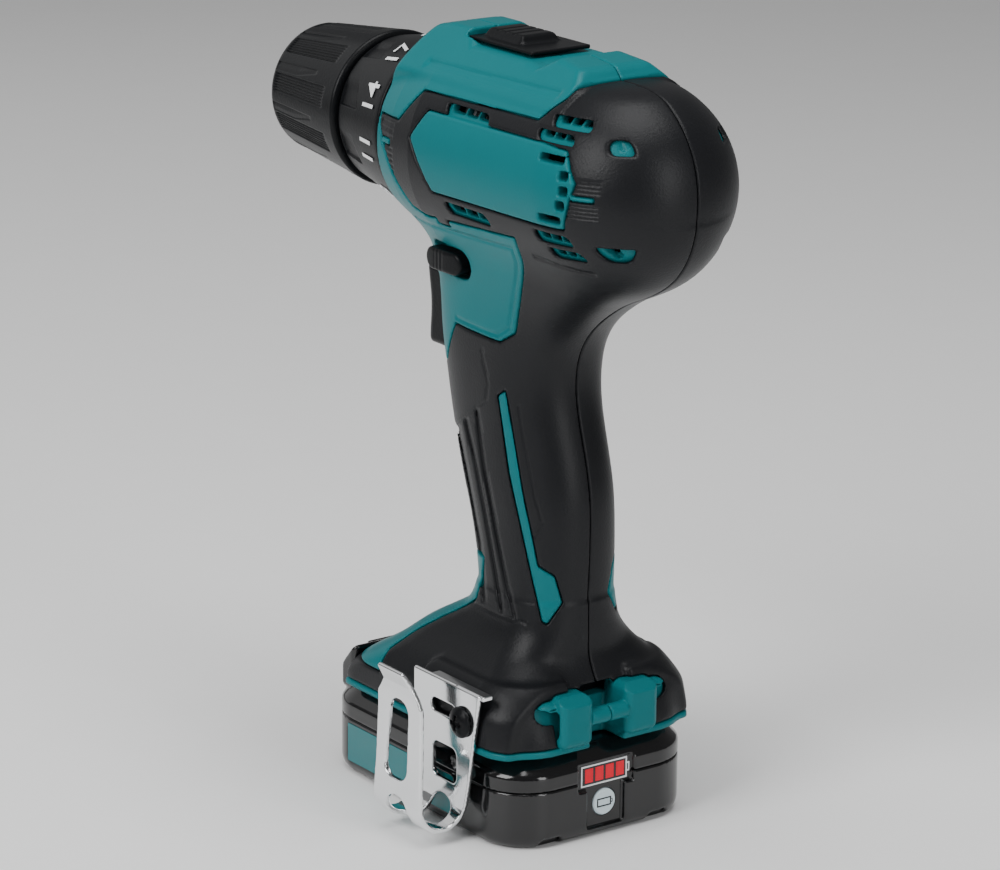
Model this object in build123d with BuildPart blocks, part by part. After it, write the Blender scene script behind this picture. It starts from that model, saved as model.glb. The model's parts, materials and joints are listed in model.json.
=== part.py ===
from build123d import *
from math import acos, cos, pi, radians, sin, tan
import os

os.makedirs("parts", exist_ok=True)

# Frame: origin at the centre of the battery's flat base, nose toward -Y, up +Z.
AXIS_Z = 178.0          # spindle, gears and chuck
SHELL_Z = 177.0         # centre of the round motor housing
BARREL_R = 28.0
COLLAR_R = 24.7         # front of the housing, where the torque ring starts
COLLAR_Y = -26.7

SKIN = 1.2              # rubber overmould on the shells
WALL = 2.2              # plastic shell under it

MODULE = 0.7
PRESSURE = radians(25)
SUN_TEETH = 12
PLANET_TEETH = 18
RING_TEETH = 48
CARRIER_R = MODULE * (SUN_TEETH + PLANET_TEETH) / 2

JAW_TILT = 15.0
JAW_R = 3.2
GRIP_R = 5.3            # radius the open jaws take
JAW_FRONT = -80.0

BATTERY_W = 61.8
BATTERY_L = 88.8
BATTERY_CORNER = 14.0
BATTERY_SPLIT = 16.0
BATTERY_TOP = 25.0
BOSS_SPOTS = [(sx * 23.0, sy * 36.6) for sx in (-1, 1) for sy in (-1, 1)]
BASE_Z = 25.4           # underside of the handle's foot
CHANNEL_TOP = 32.6
RAIL_END = 27.4         # back end of the battery's rail

CLIP_X = 33.0           # side pads that carry the belt clip
CLIP_T = 1.4
SCREW_SPOTS = [(54, 154.5), (30, 150), (8, 112), (20, 78), (24, 46), (-9, 42)]


def across(y, z=AXIS_Z):
    """Plane square to the spindle at station y, extruding toward the nose."""
    return Plane(origin=(0, y, z), x_dir=(1, 0, 0), z_dir=(0, -1, 0))


def save(piece, label):
    piece.label = label
    export_step(piece, "parts/" + label + ".step")


def tube(y0, y1, outer, inner=0.0, z=AXIS_Z, x=0.0, mode=Mode.ADD):
    """Ring or disc about a line parallel to the spindle, between stations y0 and y1."""
    with BuildSketch(Plane(origin=(x, y1, z), x_dir=(1, 0, 0), z_dir=(0, -1, 0))) as ring:
        Circle(outer)
        if inner > 0:
            Circle(inner, mode=Mode.SUBTRACT)
    extrude(ring.sketch, amount=y1 - y0, mode=mode)


def block(x0, x1, y0, y1, z0, z1, mode=Mode.ADD):
    with Locations(((x0 + x1) / 2, (y0 + y1) / 2, (z0 + z1) / 2)):
        Box(x1 - x0, y1 - y0, z1 - z0, mode=mode)


def side_plate(points, x0, x1, mode=Mode.ADD):
    """Outline in the Y-Z plane given thickness from x0 to x1."""
    with BuildSketch(Plane.YZ.offset(x0)) as outline:
        with BuildLine():
            Polyline(*points, close=True)
        make_face()
    extrude(outline.sketch, amount=x1 - x0, mode=mode)


def rod_x(y, z, radius, x0, x1, mode=Mode.ADD):
    with BuildSketch(Plane(origin=(x0, y, z), x_dir=(0, 1, 0), z_dir=(1, 0, 0))) as disc:
        Circle(radius)
    extrude(disc.sketch, amount=x1 - x0, mode=mode)


def turned(points, z=AXIS_Z):
    """Solid of revolution about the spindle from (y, radius) points."""
    with BuildSketch(Plane.YZ) as half:
        with BuildLine():
            Polyline(*[(y, z + r) for y, r in points], close=True)
        make_face()
    revolve(half.sketch, axis=Axis((0, 0, z), (0, 1, 0)))


def gear_points(teeth, addendum, dedendum, slack, phase):
    """Involute outline; a negative slack widens the teeth, for cutting a ring gear."""
    pitch_r = MODULE * teeth / 2
    base_r = pitch_r * cos(PRESSURE)
    low = max(base_r, pitch_r - dedendum)
    high = pitch_r + addendum
    involute = tan(PRESSURE) - PRESSURE
    points = []
    for tooth in range(teeth):
        middle = phase + 2 * pi * tooth / teeth
        flank = []
        for step in range(4):
            rho = low + (high - low) * step / 3
            angle = acos(min(1.0, base_r / rho))
            half = pi / (2 * teeth) + involute - (tan(angle) - angle) - slack / (2 * rho)
            flank.append((rho, half))
        root = pitch_r - dedendum
        if root < low - 1e-6:
            points.append((root * cos(middle - flank[0][1]), root * sin(middle - flank[0][1])))
        for rho, half in flank:
            points.append((rho * cos(middle - half), rho * sin(middle - half)))
        for rho, half in reversed(flank):
            points.append((rho * cos(middle + half), rho * sin(middle + half)))
        if root < low - 1e-6:
            points.append((root * cos(middle + flank[0][1]), root * sin(middle + flank[0][1])))
    return points


def pinion(y0, y1, teeth, phase, x=0.0, z=AXIS_Z, bore=0.0):
    points = gear_points(teeth, 0.8 * MODULE, 1.0 * MODULE, 0.08, phase)
    with BuildSketch(Plane(origin=(x, y1, z), x_dir=(1, 0, 0), z_dir=(0, -1, 0))) as wheel:
        with BuildLine():
            Polyline(*points, close=True)
        make_face()
        if bore > 0:
            Circle(bore, mode=Mode.SUBTRACT)
    extrude(wheel.sketch, amount=y1 - y0)


def ring_gear(y0, y1, outer):
    points = gear_points(RING_TEETH, 1.0 * MODULE, 0.8 * MODULE, -0.08, pi / 2 + pi / RING_TEETH)
    with BuildSketch(across(y1)) as wheel:
        Circle(outer)
        with BuildLine():
            Polyline(*points, close=True)
        make_face(mode=Mode.SUBTRACT)
    extrude(wheel.sketch, amount=y1 - y0)


# Handle and neck sections: height, front, back, half width, corner radius.
HANDLE = [
    (62, -3.4, 36.6, 18.6, 13.5),
    (70, -3.8, 36.8, 16.8, 13.2),
    (80, -6.6, 36.9, 16.0, 12.8),
    (90, -10.6, 35.8, 15.6, 12.6),
    (100, -14.2, 33.6, 15.4, 12.4),
    (110, -16.6, 30.2, 15.6, 12.4),
    (118, -17.4, 28.4, 16.2, 12.0),
]
NECK = [
    (118, -17.4, 28.4, 16.2, 12.0),
    (128, -19.5, 29.4, 16.8, 9.0),
    (136, -20.6, 34.6, 17.0, 8.0),
    (144, -22.2, 46.0, 17.2, 8.0),
    (152, -24.2, 62.0, 18.0, 8.5),
    (162, -25.6, 70.0, 19.0, 9.0),
]
FOOT = [
    (25.4, -44.4, 44.4, 30.9, 14.0),
    (29.0, -43.0, 44.2, 31.2, 13.5),
    (36.0, -34.5, 42.4, 30.9, 12.0),
    (42.0, -27.0, 40.6, 29.5, 11.0),
    (48.0, -18.0, 38.6, 25.0, 11.0),
    (55.0, -9.5, 37.2, 20.5, 12.0),
    (63.0, -3.4, 36.6, 18.4, 13.4),
]


def stack(sections, grow):
    """Loft through rounded rectangles, each side moved out by grow."""
    for z, front, back, half, corner in sections:
        with BuildSketch(Plane.XY.offset(z)) as section:
            with Locations((0, (front + back) / 2)):
                RectangleRounded(2 * (half + grow), back - front + 2 * grow, corner + grow)
        yield section.sketch


def foot_section(z):
    for low, high in zip(FOOT, FOOT[1:]):
        if low[0] <= z <= high[0]:
            share = (z - low[0]) / (high[0] - low[0])
            return (z,) + tuple(a + (b - a) * share for a, b in zip(low[1:], high[1:]))


def envelope(grow, foot_from):
    """The whole moulded body as one solid, its surface moved out by grow."""
    rear = [(50.0, 28.0, 0.0, 1.0), (61.0, 26.2, 0.35, 0.94), (69.0, 21.6, 0.6, 0.8)]
    rear = rear + [(75.2, 14.6, 0.85, 0.53), (78.6, 6.0, 0.99, 0.1)]
    tail = [(y + ny * grow, SHELL_Z + r + nr * grow) for y, r, ny, nr in rear]
    front = [(COLLAR_Y, COLLAR_R), (-19.0, 26.4), (-8.0, BARREL_R)]
    with BuildPart() as env:
        with BuildSketch(Plane.YZ) as barrel:
            with BuildLine():
                Polyline((COLLAR_Y, SHELL_Z), *[(y, SHELL_Z + r + grow) for y, r in front], tail[0])
                Spline(*tail, tangents=[(1, 0), (0, -1)])
                Polyline(tail[-1], (tail[-1][0], SHELL_Z), (COLLAR_Y, SHELL_Z))
            make_face()
        revolve(axis=Axis((0, 0, SHELL_Z), (0, 1, 0)))
        loft(list(stack(HANDLE, grow)))
        loft(list(stack(NECK, grow)))
        sections = [foot_section(foot_from)] + [s for s in FOOT if s[0] > foot_from + 0.5]
        loft(list(stack(sections, grow)), ruled=True)
    with BuildPart() as hood:
        crown = [(-19, 180), (-21, 197), (-15.5, 205.4), (-9, 208.3), (9, 208.3), (15.5, 205.4), (21, 197), (19, 180)]
        with BuildSketch(across(-40, 0)) as roof:
            with BuildLine():
                Polyline(*[(x * (1 + grow / 21), z + grow) for x, z in crown], close=True)
            make_face()
        extrude(amount=-100)
        side = [(-26.7, 180), (-26.7, 204), (-31 - grow, 204), (-31 - grow, 205.6), (-19.6, 208.2)]
        side = side + [(-8, 209), (40, 209), (46 + grow, 203), (46 + grow, 180)]
        with BuildSketch(Plane.YZ) as profile:
            with BuildLine():
                Polyline(*[(y, z + (grow if z > 204.5 else 0)) for y, z in side], close=True)
            make_face()
        extrude(amount=40, both=True, mode=Mode.INTERSECT)
    return env.part + hood.part


outer_env = envelope(0.0, BASE_Z)
shell_env = envelope(-SKIN, BASE_Z)
room_env = envelope(-SKIN - WALL, 37.0)

# Outlines, in the side view, of the faces left in the shell's own colour.
FRONT_FACE = [(-60, 230), (52, 230), (45.4, 199.7), (40.2, 193.8), (-8.5, 193.0), (-14.9, 184.4)]
FRONT_FACE = FRONT_FACE + [(-20.8, 184.4), (-13.0, 161.5), (-6.2, 160.5), (34.0, 163.2), (32.3, 156.0)]
FRONT_FACE = FRONT_FACE + [(24.6, 140.1), (22.1, 134.2), (16.7, 130.9), (-2.4, 131.8), (-10, 119.4), (-60, 119.4)]
PANEL = [(-2.9, 188.9), (-7.2, 181.9), (1.4, 169.6), (56.3, 170.7), (60.5, 182.6), (55, 189.6), (45, 190.4)]
INLAY = [(16.6, 116.6), (19.5, 118.2), (36.2, 77.0), (41.4, 73.6), (45.4, 66.9), (39.4, 59.9), (36.6, 62.0), (31.8, 76.0)]
INLAY = [(y - 8.0 * (118 - z) / 60, z) for y, z in INLAY]
NOSE = [(-60, 70), (17, 70), (17, 60.5), (-4.5, 49.6), (-11.3, 44.9), (-16.4, 39.6), (-17, 29), (60, 29), (60, 20), (-60, 20)]

with BuildPart() as bare:
    for region in (FRONT_FACE, PANEL, INLAY, NOSE):
        side_plate(region, -45, 45)

with BuildPart() as fittings:
    for rib_y in (-22.0, 3.0):
        tube(rib_y - 1, rib_y + 1, 40, 22.15)
    for rib_y in (22.0, 50.0):
        tube(rib_y - 1, rib_y + 1, 40, 18.15)
    block(-45, 45, -60, 78, 100, 146, mode=Mode.SUBTRACT)
    for spot_y, spot_z in SCREW_SPOTS:
        rod_x(spot_y, spot_z, 4.4, -45, 45)
    block(-9.0, 9.0, 32.5, 50, 26, 44)
    rod_x(27, 33.5, 4.4, 22, 45)
    rod_x(27, 33.5, 4.4, -45, -22)

with BuildPart() as side_pads:
    pad = [(4, 44), (0, 40), (0, BASE_Z), (36, BASE_Z), (42, 30), (42, 40), (38, 44)]
    side_plate(pad, -CLIP_X + 0.3, CLIP_X - 0.3)
    chamfer(side_pads.faces().filter_by(Axis.X).edges(), 1.6)

with BuildPart() as openings:
    tube(-60, 10, 22.15)
    tube(7, 66, 18.15)
    block(-40, 40, -60, -13.0, 119.6, 142.5)
    block(-8.8, 8.8, -40, -8.0, 119.6, 143.0)
    block(-7.2, 7.2, -40, 24, 121.0, 143.0)
    block(-14.6, 14.6, -60, RAIL_END + 0.6, 20, 29.2)
    block(-17.4, 17.4, -60, RAIL_END + 0.6, 28.8, CHANNEL_TOP)
    block(-14.0, 14.0, RAIL_END + 0.5, 32.8, 20, 34.4)
    block(-8.4, 8.4, 28.2, 32.8, 34, 40)
    block(-5.5, 5.5, 35.5, 60, 25, 42)
    side_plate([(-13, 144.6), (6, 144.6), (6, 153.0), (-13, 153.0)], -40, 40)
    block(-10.0, 10.0, -7.5, 27.5, 205.2, 230)
    block(-5.2, 5.2, -4.5, 14.5, 199, 230)
    block(-5.0, 5.0, -40, -14, 145.2, 153.6)
    block(30.0, 45, 10, 38, 41.0, 43.2)
    rod_x(27, 33.5, 3.15, 24, 45)
    rod_x(27, 33.5, 3.15, -45, -24)
    tube(-45, -26.6, 25.3)

# Vent windows in the side view: y centre, z centre, length, height.
VENTS = [(12.6, 191.6, 20, 3.4), (52.8, 195.4, 16, 3.2), (49.8, 191.6, 16, 3.0), (52.4, 187.4, 9.5, 2.6)]
VENTS = VENTS + [(58.0, 183.6, 3.4, 2.8), (58.2, 179.6, 3.4, 2.8), (57.0, 175.6, 3.4, 2.8), (53.0, 171.8, 8.5, 2.8)]
VENTS = VENTS + [(15.0, 166.4, 17, 3.4), (52.0, 167.2, 13, 3.0), (56.0, 163.0, 14, 2.6)]
VENTS = VENTS + [(70.0, 192.6, 7, 4.2), (72.0, 167.4, 9, 4.2)]
with BuildPart() as vents:
    for vent_y, vent_z, vent_l, vent_h in VENTS:
        with BuildSketch(Plane.YZ.offset(-45)) as slot:
            with Locations((vent_y, vent_z)):
                RectangleRounded(vent_l, vent_h, vent_h * 0.3)
        extrude(slot.sketch, amount=90)

full_shell = shell_env + (outer_env & bare.part) + side_pads.part
room = room_env - fittings.part
shell = full_shell - room - openings.part
cover_skin = (outer_env - shell_env) - bare.part - side_pads.part - openings.part
screw_holes = {}
for side, sign in (("left", 1), ("right", -1)):
    with BuildPart() as drilled:
        for spot_y, spot_z in SCREW_SPOTS:
            rod_x(spot_y, spot_z, 1.35 if sign > 0 else 1.75, -45, 9 if sign > 0 else 1)
            if sign < 0:
                rod_x(spot_y, spot_z, 3.3, -45, -10.0)
    screw_holes[side] = drilled.part
with BuildPart() as half_space:
    block(0.0, 60, -120, 120, -10, 240)
with BuildPart() as other_space:
    block(-60, 0.0, -120, 120, -10, 240)

spaces = {"left": half_space.part, "right": other_space.part}
for side in ("left", "right"):
    with BuildPart() as strap_bar:
        rod_x(44.0, 34.0, 2.3, 0.0 if side == "left" else -7.0, 7.0 if side == "left" else 0.0)
    moulding = (shell & spaces[side]) - vents.part - screw_holes[side]
    moulding = moulding + strap_bar.part
    save(moulding, "housing_" + side)
    rubber = (cover_skin & spaces[side]) - vents.part - strap_bar.part
    if side == "right":
        rubber = rubber - screw_holes[side]
    rubber = Part() + [s for s in rubber.solids() if s.volume > 30]
    save(rubber, "grip_" + side)

# Screws that close the two halves, entered from the right side.
with BuildPart() as housing_screws:
    for spot_y, spot_z in SCREW_SPOTS:
        rod_x(spot_y, spot_z, 1.3, -11.0, 8.0)
        rod_x(spot_y, spot_z, 3.0, -12.2, -10.05)
        with BuildSketch(Plane(origin=(-12.2, spot_y, spot_z), x_dir=(0, 1, 0), z_dir=(1, 0, 0))) as socket:
            RegularPolygon(1.3, 6)
        extrude(socket.sketch, amount=1.2, mode=Mode.SUBTRACT)
save(housing_screws.part, "housing_screws")

# ---- Gearbox ----
with BuildPart() as gear_case:
    tube(-24.0, 6.6, 22.0, 19.75)
    tube(-26.4, -22.4, 22.0, 9.0)
    tube(-46.0, -24.0, 12.4, 9.62)
    tube(6.6, 9.2, 22.0, 6.5)
    with BuildSketch(across(-22.4)) as ball_holes:
        with PolarLocations(17.6, 6, start_angle=30):
            Circle(2.1)
    extrude(ball_holes.sketch, amount=6, mode=Mode.SUBTRACT)
    block(-3.0, 3.0, -12.5, 4.5, 196, 202, mode=Mode.SUBTRACT)
save(gear_case.part, "gear_case")

with BuildPart() as ring_gear_1:
    ring_gear(0.7, 5.9, 19.7)
save(ring_gear_1.part, "ring_gear_1")

with BuildPart() as shift_ring:
    ring_gear(-11.6, -4.6, 19.4)
    with BuildSketch(across(-6.5)) as groove:
        Circle(21)
        Circle(18.6, mode=Mode.SUBTRACT)
    extrude(groove.sketch, amount=2.2, mode=Mode.SUBTRACT)
save(shift_ring.part, "shift_ring")

with BuildPart() as shift_yoke:
    tube(-8.45, -6.75, 19.35, 18.75)
    block(-30, 30, -20, 20, 140, 184, mode=Mode.SUBTRACT)
    block(-1.8, 1.8, -8.45, -6.75, 197.0, 200.9)
    block(-1.8, 1.8, -8.45, -1.0, 200.15, 201.3)
    block(-1.8, 1.8, -3.0, -1.0, 200.15, 205.3)
save(shift_yoke.part, "shift_yoke")

# Planets: rest angles that put every tooth in mesh with both the sun and the ring.
planet_spots = []
for index in range(3):
    theta = pi / 2 + index * 2 * pi / 3
    phase = theta + pi + (pi + theta * SUN_TEETH) / PLANET_TEETH
    planet_spots.append((theta, phase, CARRIER_R * cos(theta), AXIS_Z + CARRIER_R * sin(theta)))

for stage, y0, y1 in ((1, -0.9, 5.2), (2, -11.2, -5.0)):
    for index, (theta, phase, px, pz) in enumerate(planet_spots):
        with BuildPart() as planet:
            pinion(y0, y1, PLANET_TEETH, phase, x=px, z=pz, bore=2.05)
        save(planet.part, f"planet_{stage}{'abc'[index]}")

with BuildPart() as carrier_1:
    tube(-3.9, -1.5, 15.2)
    for theta, phase, px, pz in planet_spots:
        tube(-1.5, 5.6, 2.0, x=px, z=pz)
    pinion(-11.0, -3.9, SUN_TEETH, 0.0)
save(carrier_1.part, "carrier_1")

with BuildPart() as spindle:
    tube(-14.4, -11.8, 15.2)
    for theta, phase, px, pz in planet_spots:
        tube(-11.8, -5.2, 2.0, x=px, z=pz)
    tube(-17.0, -14.4, 8.0)
    tube(-66.0, -17.0, 5.0)
    chamfer(spindle.faces().filter_by(Axis.Y).sort_by(Axis.Y)[0].edges(), 0.8)
save(spindle.part, "spindle")

with BuildPart() as spindle_bearing:
    turned([(-45.6, 5.05), (-45.6, 9.6), (-40.8, 9.6), (-40.8, 5.05)])
save(spindle_bearing.part, "spindle_bearing")

# ---- Clutch ----
with BuildPart() as clutch_nut:
    tube(-43.6, -40.4, 17.4, 12.75)
    for angle in range(0, 360, 60):
        with Locations((17.4 * cos(radians(angle)), -42.0, AXIS_Z + 17.4 * sin(radians(angle)))):
            Box(1.6, 3.2, 1.6, rotation=(0, -angle, 0))
save(clutch_nut.part, "clutch_nut")

SPRING_TURNS = 4.5
with BuildPart() as clutch_spring:
    with BuildLine() as coil:
        Helix(pitch=10.8 / SPRING_TURNS, height=10.8, radius=15.0)
    with BuildSketch(coil.line ^ 0):
        Circle(0.95)
    sweep(is_frenet=True)
clutch_spring_part = clutch_spring.part.rotate(Axis.X, 90).moved(Location((0, -28.3, AXIS_Z)))
save(clutch_spring_part, "clutch_spring")

with BuildPart() as clutch_balls:
    for angle in range(30, 390, 60):
        with Locations((17.6 * cos(radians(angle)), -24.6, AXIS_Z + 17.6 * sin(radians(angle)))):
            Sphere(2.0)
save(clutch_balls.part, "clutch_balls")

with BuildPart() as torque_ring:
    turned([(-51.9, 13.4), (-51.9, 19.4), (-51.0, 20.3), (-28.0, 24.6), (-27.0, 24.6), (-27.0, 20.4), (-30.0, 20.4), (-44.0, 18.6), (-49.6, 18.6), (-49.6, 13.4)])
    for count in range(12):
        angle = 30 * count + 15
        spot = (20.9 * cos(radians(angle)), -47.4, AXIS_Z + 20.9 * sin(radians(angle)))
        with Locations(spot):
            Box(5.4, 8.5, 1.5, rotation=(0, 90 - angle, 0), mode=Mode.SUBTRACT)
    with BuildSketch(across(-30.0)) as keys:
        with PolarLocations(18.8, 6, start_angle=30):
            Rectangle(1.4, 2.0)
    extrude(keys.sketch, amount=19.0)
save(torque_ring.part, "torque_ring")

# ---- Chuck ----
JAW_SLOPE = tan(radians(JAW_TILT))


def jaw_axis_r(y):
    return 5.8 + (y - JAW_FRONT) * JAW_SLOPE


def jaw_rod(radius, y0, y1, angle):
    """Round rod along one jaw's sloping line, cut square at its own ends."""
    start = Vector(jaw_axis_r(y0), y0, 0)
    end = Vector(jaw_axis_r(y1), y1, 0)
    along = (end - start).normalized()
    with BuildPart() as rod:
        with BuildSketch(Plane(origin=start, x_dir=(0, 0, 1), z_dir=along)) as disc:
            Circle(radius)
        extrude(disc.sketch, amount=(end - start).length)
    return rod.part.rotate(Axis.Y, angle).moved(Location((0, 0, AXIS_Z)))


with BuildPart() as chuck_blank:
    turned([(-88.9, 6.0), (-88.9, 12.6), (-87.9, 13.8), (-76.4, 13.8), (-76.4, 11.9), (-70.8, 11.9), (-70.8, 16.4), (-54.0, 16.4), (-52.6, 14.0), (-52.6, 5.02), (-66.4, 5.02), (-66.4, 6.0)])
chuck_body = chuck_blank.part
for angle in (90, 210, 330):
    chuck_body = chuck_body - jaw_rod(JAW_R + 0.05, -100, -52.0, angle)
chuck_body = Part() + [s for s in chuck_body.solids() if s.volume > 100]
save(chuck_body, "chuck_body")

with BuildPart() as grip_bore:
    tube(-100, -40, GRIP_R)
for index, angle in enumerate((90, 210, 330)):
    blank = jaw_rod(JAW_R, -84, -55.0, angle)
    apex = 3.9
    with BuildPart() as sector:
        with BuildSketch(Plane(origin=(0, -40, 0), x_dir=(1, 0, 0), z_dir=(0, -1, 0))) as wedge:
            with BuildLine():
                Polyline((apex, 0), (apex + 30, 30 * tan(radians(59.5))), (apex + 30, -30 * tan(radians(59.5))), close=True)
            make_face()
        extrude(wedge.sketch, amount=-JAW_FRONT - 40)
    wedge_part = sector.part.rotate(Axis.Y, angle).moved(Location((0, 0, AXIS_Z)))
    save((blank & wedge_part) - grip_bore.part, f"jaw_{index + 1}")

with BuildPart() as chuck_screw:
    tube(-66.9, -66.0, 1.5)
    tube(-69.2, -66.9, 3.8)
    with BuildSketch(across(-69.2)) as cross_slot:
        Rectangle(5.0, 1.0)
        Rectangle(1.0, 5.0)
    extrude(cross_slot.sketch, amount=-1.2, mode=Mode.SUBTRACT)
save(chuck_screw.part, "chuck_screw")

with BuildPart() as chuck_nut:
    tube(-76.1, -71.1, 17.0, 13.1)
save(chuck_nut.part, "chuck_nut")

with BuildPart() as chuck_sleeve:
    turned([(-89.1, 15.2), (-89.1, 16.9), (-88.0, 17.9), (-86.0, 18.2), (-54.2, 21.3), (-53.2, 20.6), (-53.2, 16.8), (-70.9, 17.0), (-76.2, 17.0), (-77.6, 14.4), (-88.2, 14.4)])
    with BuildSketch(across(-53.0)) as flutes:
        with PolarLocations(21.3, 24):
            Rectangle(2.4, 1.6)
    extrude(flutes.sketch, amount=17, mode=Mode.SUBTRACT)
save(chuck_sleeve.part, "chuck_sleeve")

# ---- Motor ----
with BuildPart() as motor_can:
    tube(9.4, 56.0, 18.0, 16.6)
    tube(9.4, 11.0, 18.0, 7.0)
    with BuildSketch(across(24.0)) as can_windows:
        with PolarLocations(17.3, 4, start_angle=45):
            Rectangle(4, 8)
    extrude(can_windows.sketch, amount=10, mode=Mode.SUBTRACT)
save(motor_can.part, "motor_can")

with BuildPart() as brush_holder:
    tube(56.1, 63.5, 18.0, 16.0)
    tube(62.0, 63.5, 18.0, 5.0)
    tube(61.8, 66.5, 5.0, 2.6)
    for sign in (-1, 1):
        block(-11.6 if sign < 0 else 7.6, -7.6 if sign < 0 else 11.6, 56.6, 61.9, AXIS_Z - 3.2, AXIS_Z + 3.2)
        block(-12 if sign < 0 else 7, -7 if sign < 0 else 12, 57.4, 61.1, AXIS_Z - 2.3, AXIS_Z + 2.3, mode=Mode.SUBTRACT)
    block(-17, -11.6, 60.2, 63.0, AXIS_Z - 1.2, AXIS_Z + 1.2)
    block(11.6, 17, 60.2, 63.0, AXIS_Z - 1.2, AXIS_Z + 1.2)
save(brush_holder.part, "brush_holder")

with BuildPart() as carbon_brushes:
    block(-11.5, -6.05, 57.5, 61.0, AXIS_Z - 2.2, AXIS_Z + 2.2)
    block(6.05, 11.5, 57.5, 61.0, AXIS_Z - 2.2, AXIS_Z + 2.2)
save(carbon_brushes.part, "carbon_brushes")

with BuildPart() as motor_shaft:
    tube(5.0, 66.0, 1.58)
    pinion(-0.9, 5.8, SUN_TEETH, 0.0)
save(motor_shaft.part, "motor_shaft")

with BuildPart() as armature:
    tube(18.0, 46.0, 13.0, 1.58)
    with BuildSketch(across(46.0)) as winding_slots:
        with PolarLocations(10.6, 5):
            Rectangle(6.0, 1.8)
        with PolarLocations(7.8, 5):
            Circle(2.6)
    extrude(winding_slots.sketch, amount=28.0, mode=Mode.SUBTRACT)
    with BuildSketch(across(45.0)) as coils:
        with PolarLocations(7.8, 5):
            Circle(2.5)
    extrude(coils.sketch, amount=26.0)
    tube(46.1, 50.0, 10.8, 1.6)
    tube(14.4, 17.9, 10.8, 1.6)
save(armature.part, "armature")

with BuildPart() as commutator:
    tube(51.6, 61.6, 6.0, 1.58)
    with BuildSketch(across(61.6)) as segment_gaps:
        with PolarLocations(5.6, 5):
            Rectangle(1.2, 0.5)
    extrude(segment_gaps.sketch, amount=8.0, mode=Mode.SUBTRACT)
save(commutator.part, "commutator")

with BuildPart() as fan:
    tube(50.1, 51.3, 14.6, 1.58)
    for angle in range(0, 360, 40):
        with Locations((11.5 * cos(radians(angle)), 53.3, AXIS_Z + 11.5 * sin(radians(angle)))):
            Box(5.6, 4.2, 0.9, rotation=(0, -angle, 0))
save(fan.part, "fan")

# ---- Speed knob ----
with BuildPart() as speed_knob:
    block(-9.4, 9.4, -7.0, 20.5, 205.6, 206.6)
    block(-4.8, 4.8, -4.0, 8.0, 201.6, 205.6)
    with BuildSketch(Plane.XY.offset(206.6)) as grip_foot:
        with Locations((0, 3.5)):
            RectangleRounded(13.0, 17.0, 2.5)
    with BuildSketch(Plane.XY.offset(208.9)) as grip_top:
        with Locations((0, 3.5)):
            RectangleRounded(9.5, 12.0, 2.0)
    loft([grip_foot.sketch, grip_top.sketch])
    block(-2.0, 2.0, -3.2, -0.8, 190, 205.5, mode=Mode.SUBTRACT)
save(speed_knob.part, "speed_knob")

# ---- Trigger, switch and direction lever ----
with BuildPart() as trigger:
    with BuildSketch(Plane.YZ.offset(-8.2)) as face:
        with BuildLine():
            Spline((-27.5, 141.9), (-28.6, 137), (-27.4, 130), (-27.6, 124), (-29.6, 119.9))
            Polyline((-29.6, 119.9), (-6.0, 119.9), (-6.0, 141.9), (-27.5, 141.9))
        make_face()
    extrude(face.sketch, amount=16.4)
    block(-6.6, 6.6, -24.0, 0, 121.4, 140.4, mode=Mode.SUBTRACT)
    block(-2.5, 2.5, -24.5, -4.4, 128.5, 133.5)
save(trigger.part, "trigger")

with BuildPart() as switch_body:
    block(-6.9, 6.9, 4.0, 23.5, 121.3, 142.7)
    block(-6.2, 6.2, 0.4, 4.0, 123.5, 140.4)
    block(-2.8, 2.8, -4.0, 14.0, 128.2, 133.8, mode=Mode.SUBTRACT)
save(switch_body.part, "trigger_switch")

with BuildPart() as trigger_spring:
    with BuildLine() as trigger_coil:
        Helix(pitch=2.2, height=19.8, radius=1.9)
    with BuildSketch(trigger_coil.line ^ 0):
        Circle(0.3)
    sweep(is_frenet=True)
trigger_spring_part = trigger_spring.part.rotate(Axis.X, 90).moved(Location((0, -0.6, 125.0)))
save(trigger_spring_part, "trigger_spring")

with BuildPart() as direction_lever:
    block(-17.0, 17.0, -7.0, 1.4, 146.4, 151.2)
    block(16.0, 20.6, -11.0, 4.4, 145.8, 151.8)
    block(-20.6, -16.0, -11.0, 4.4, 145.8, 151.8)
    chamfer(direction_lever.faces().sort_by(Axis.X)[-1].edges(), 1.2)
    chamfer(direction_lever.faces().sort_by(Axis.X)[0].edges(), 1.2)
save(direction_lever.part, "direction_lever")

# ---- Work light ----
with BuildPart() as lamp_led:
    tube(-20.4, -16.2, 2.5, z=149.4)
    with Locations((0, -20.4, 149.4)):
        Sphere(2.4)
save(lamp_led.part, "lamp_led")
with BuildPart() as lamp_lens:
    block(-4.8, 4.8, -24.0, -23.0, 145.6, 153.2)
save(lamp_lens.part, "lamp_lens")

# ---- Foot: terminals, strap bar, inserts, belt clip ----
with BuildPart() as terminal_block:
    block(-13.6, 13.6, 28.4, 32.4, 28.4, 34.0)
    block(-8.0, 8.0, 28.4, 32.4, 34.0, 41.0)
save(terminal_block.part, "terminal_block")
with BuildPart() as terminal_blades:
    for blade_x in (-9.0, 0.0, 9.0):
        block(blade_x - 0.4, blade_x + 0.4, 18.0, 28.35, 27.4, 31.4)
save(terminal_blades.part, "terminal_blades")

with BuildPart() as inserts:
    for sign in (-1, 1):
        rod_x(27, 33.5, 3.1, 24.2 * sign if sign > 0 else -32.6, 32.6 if sign > 0 else -24.2)
        rod_x(27, 33.5, 1.65, 20 if sign > 0 else -40, 40 if sign > 0 else -20, mode=Mode.SUBTRACT)
save(inserts.part, "threaded_inserts")

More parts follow.
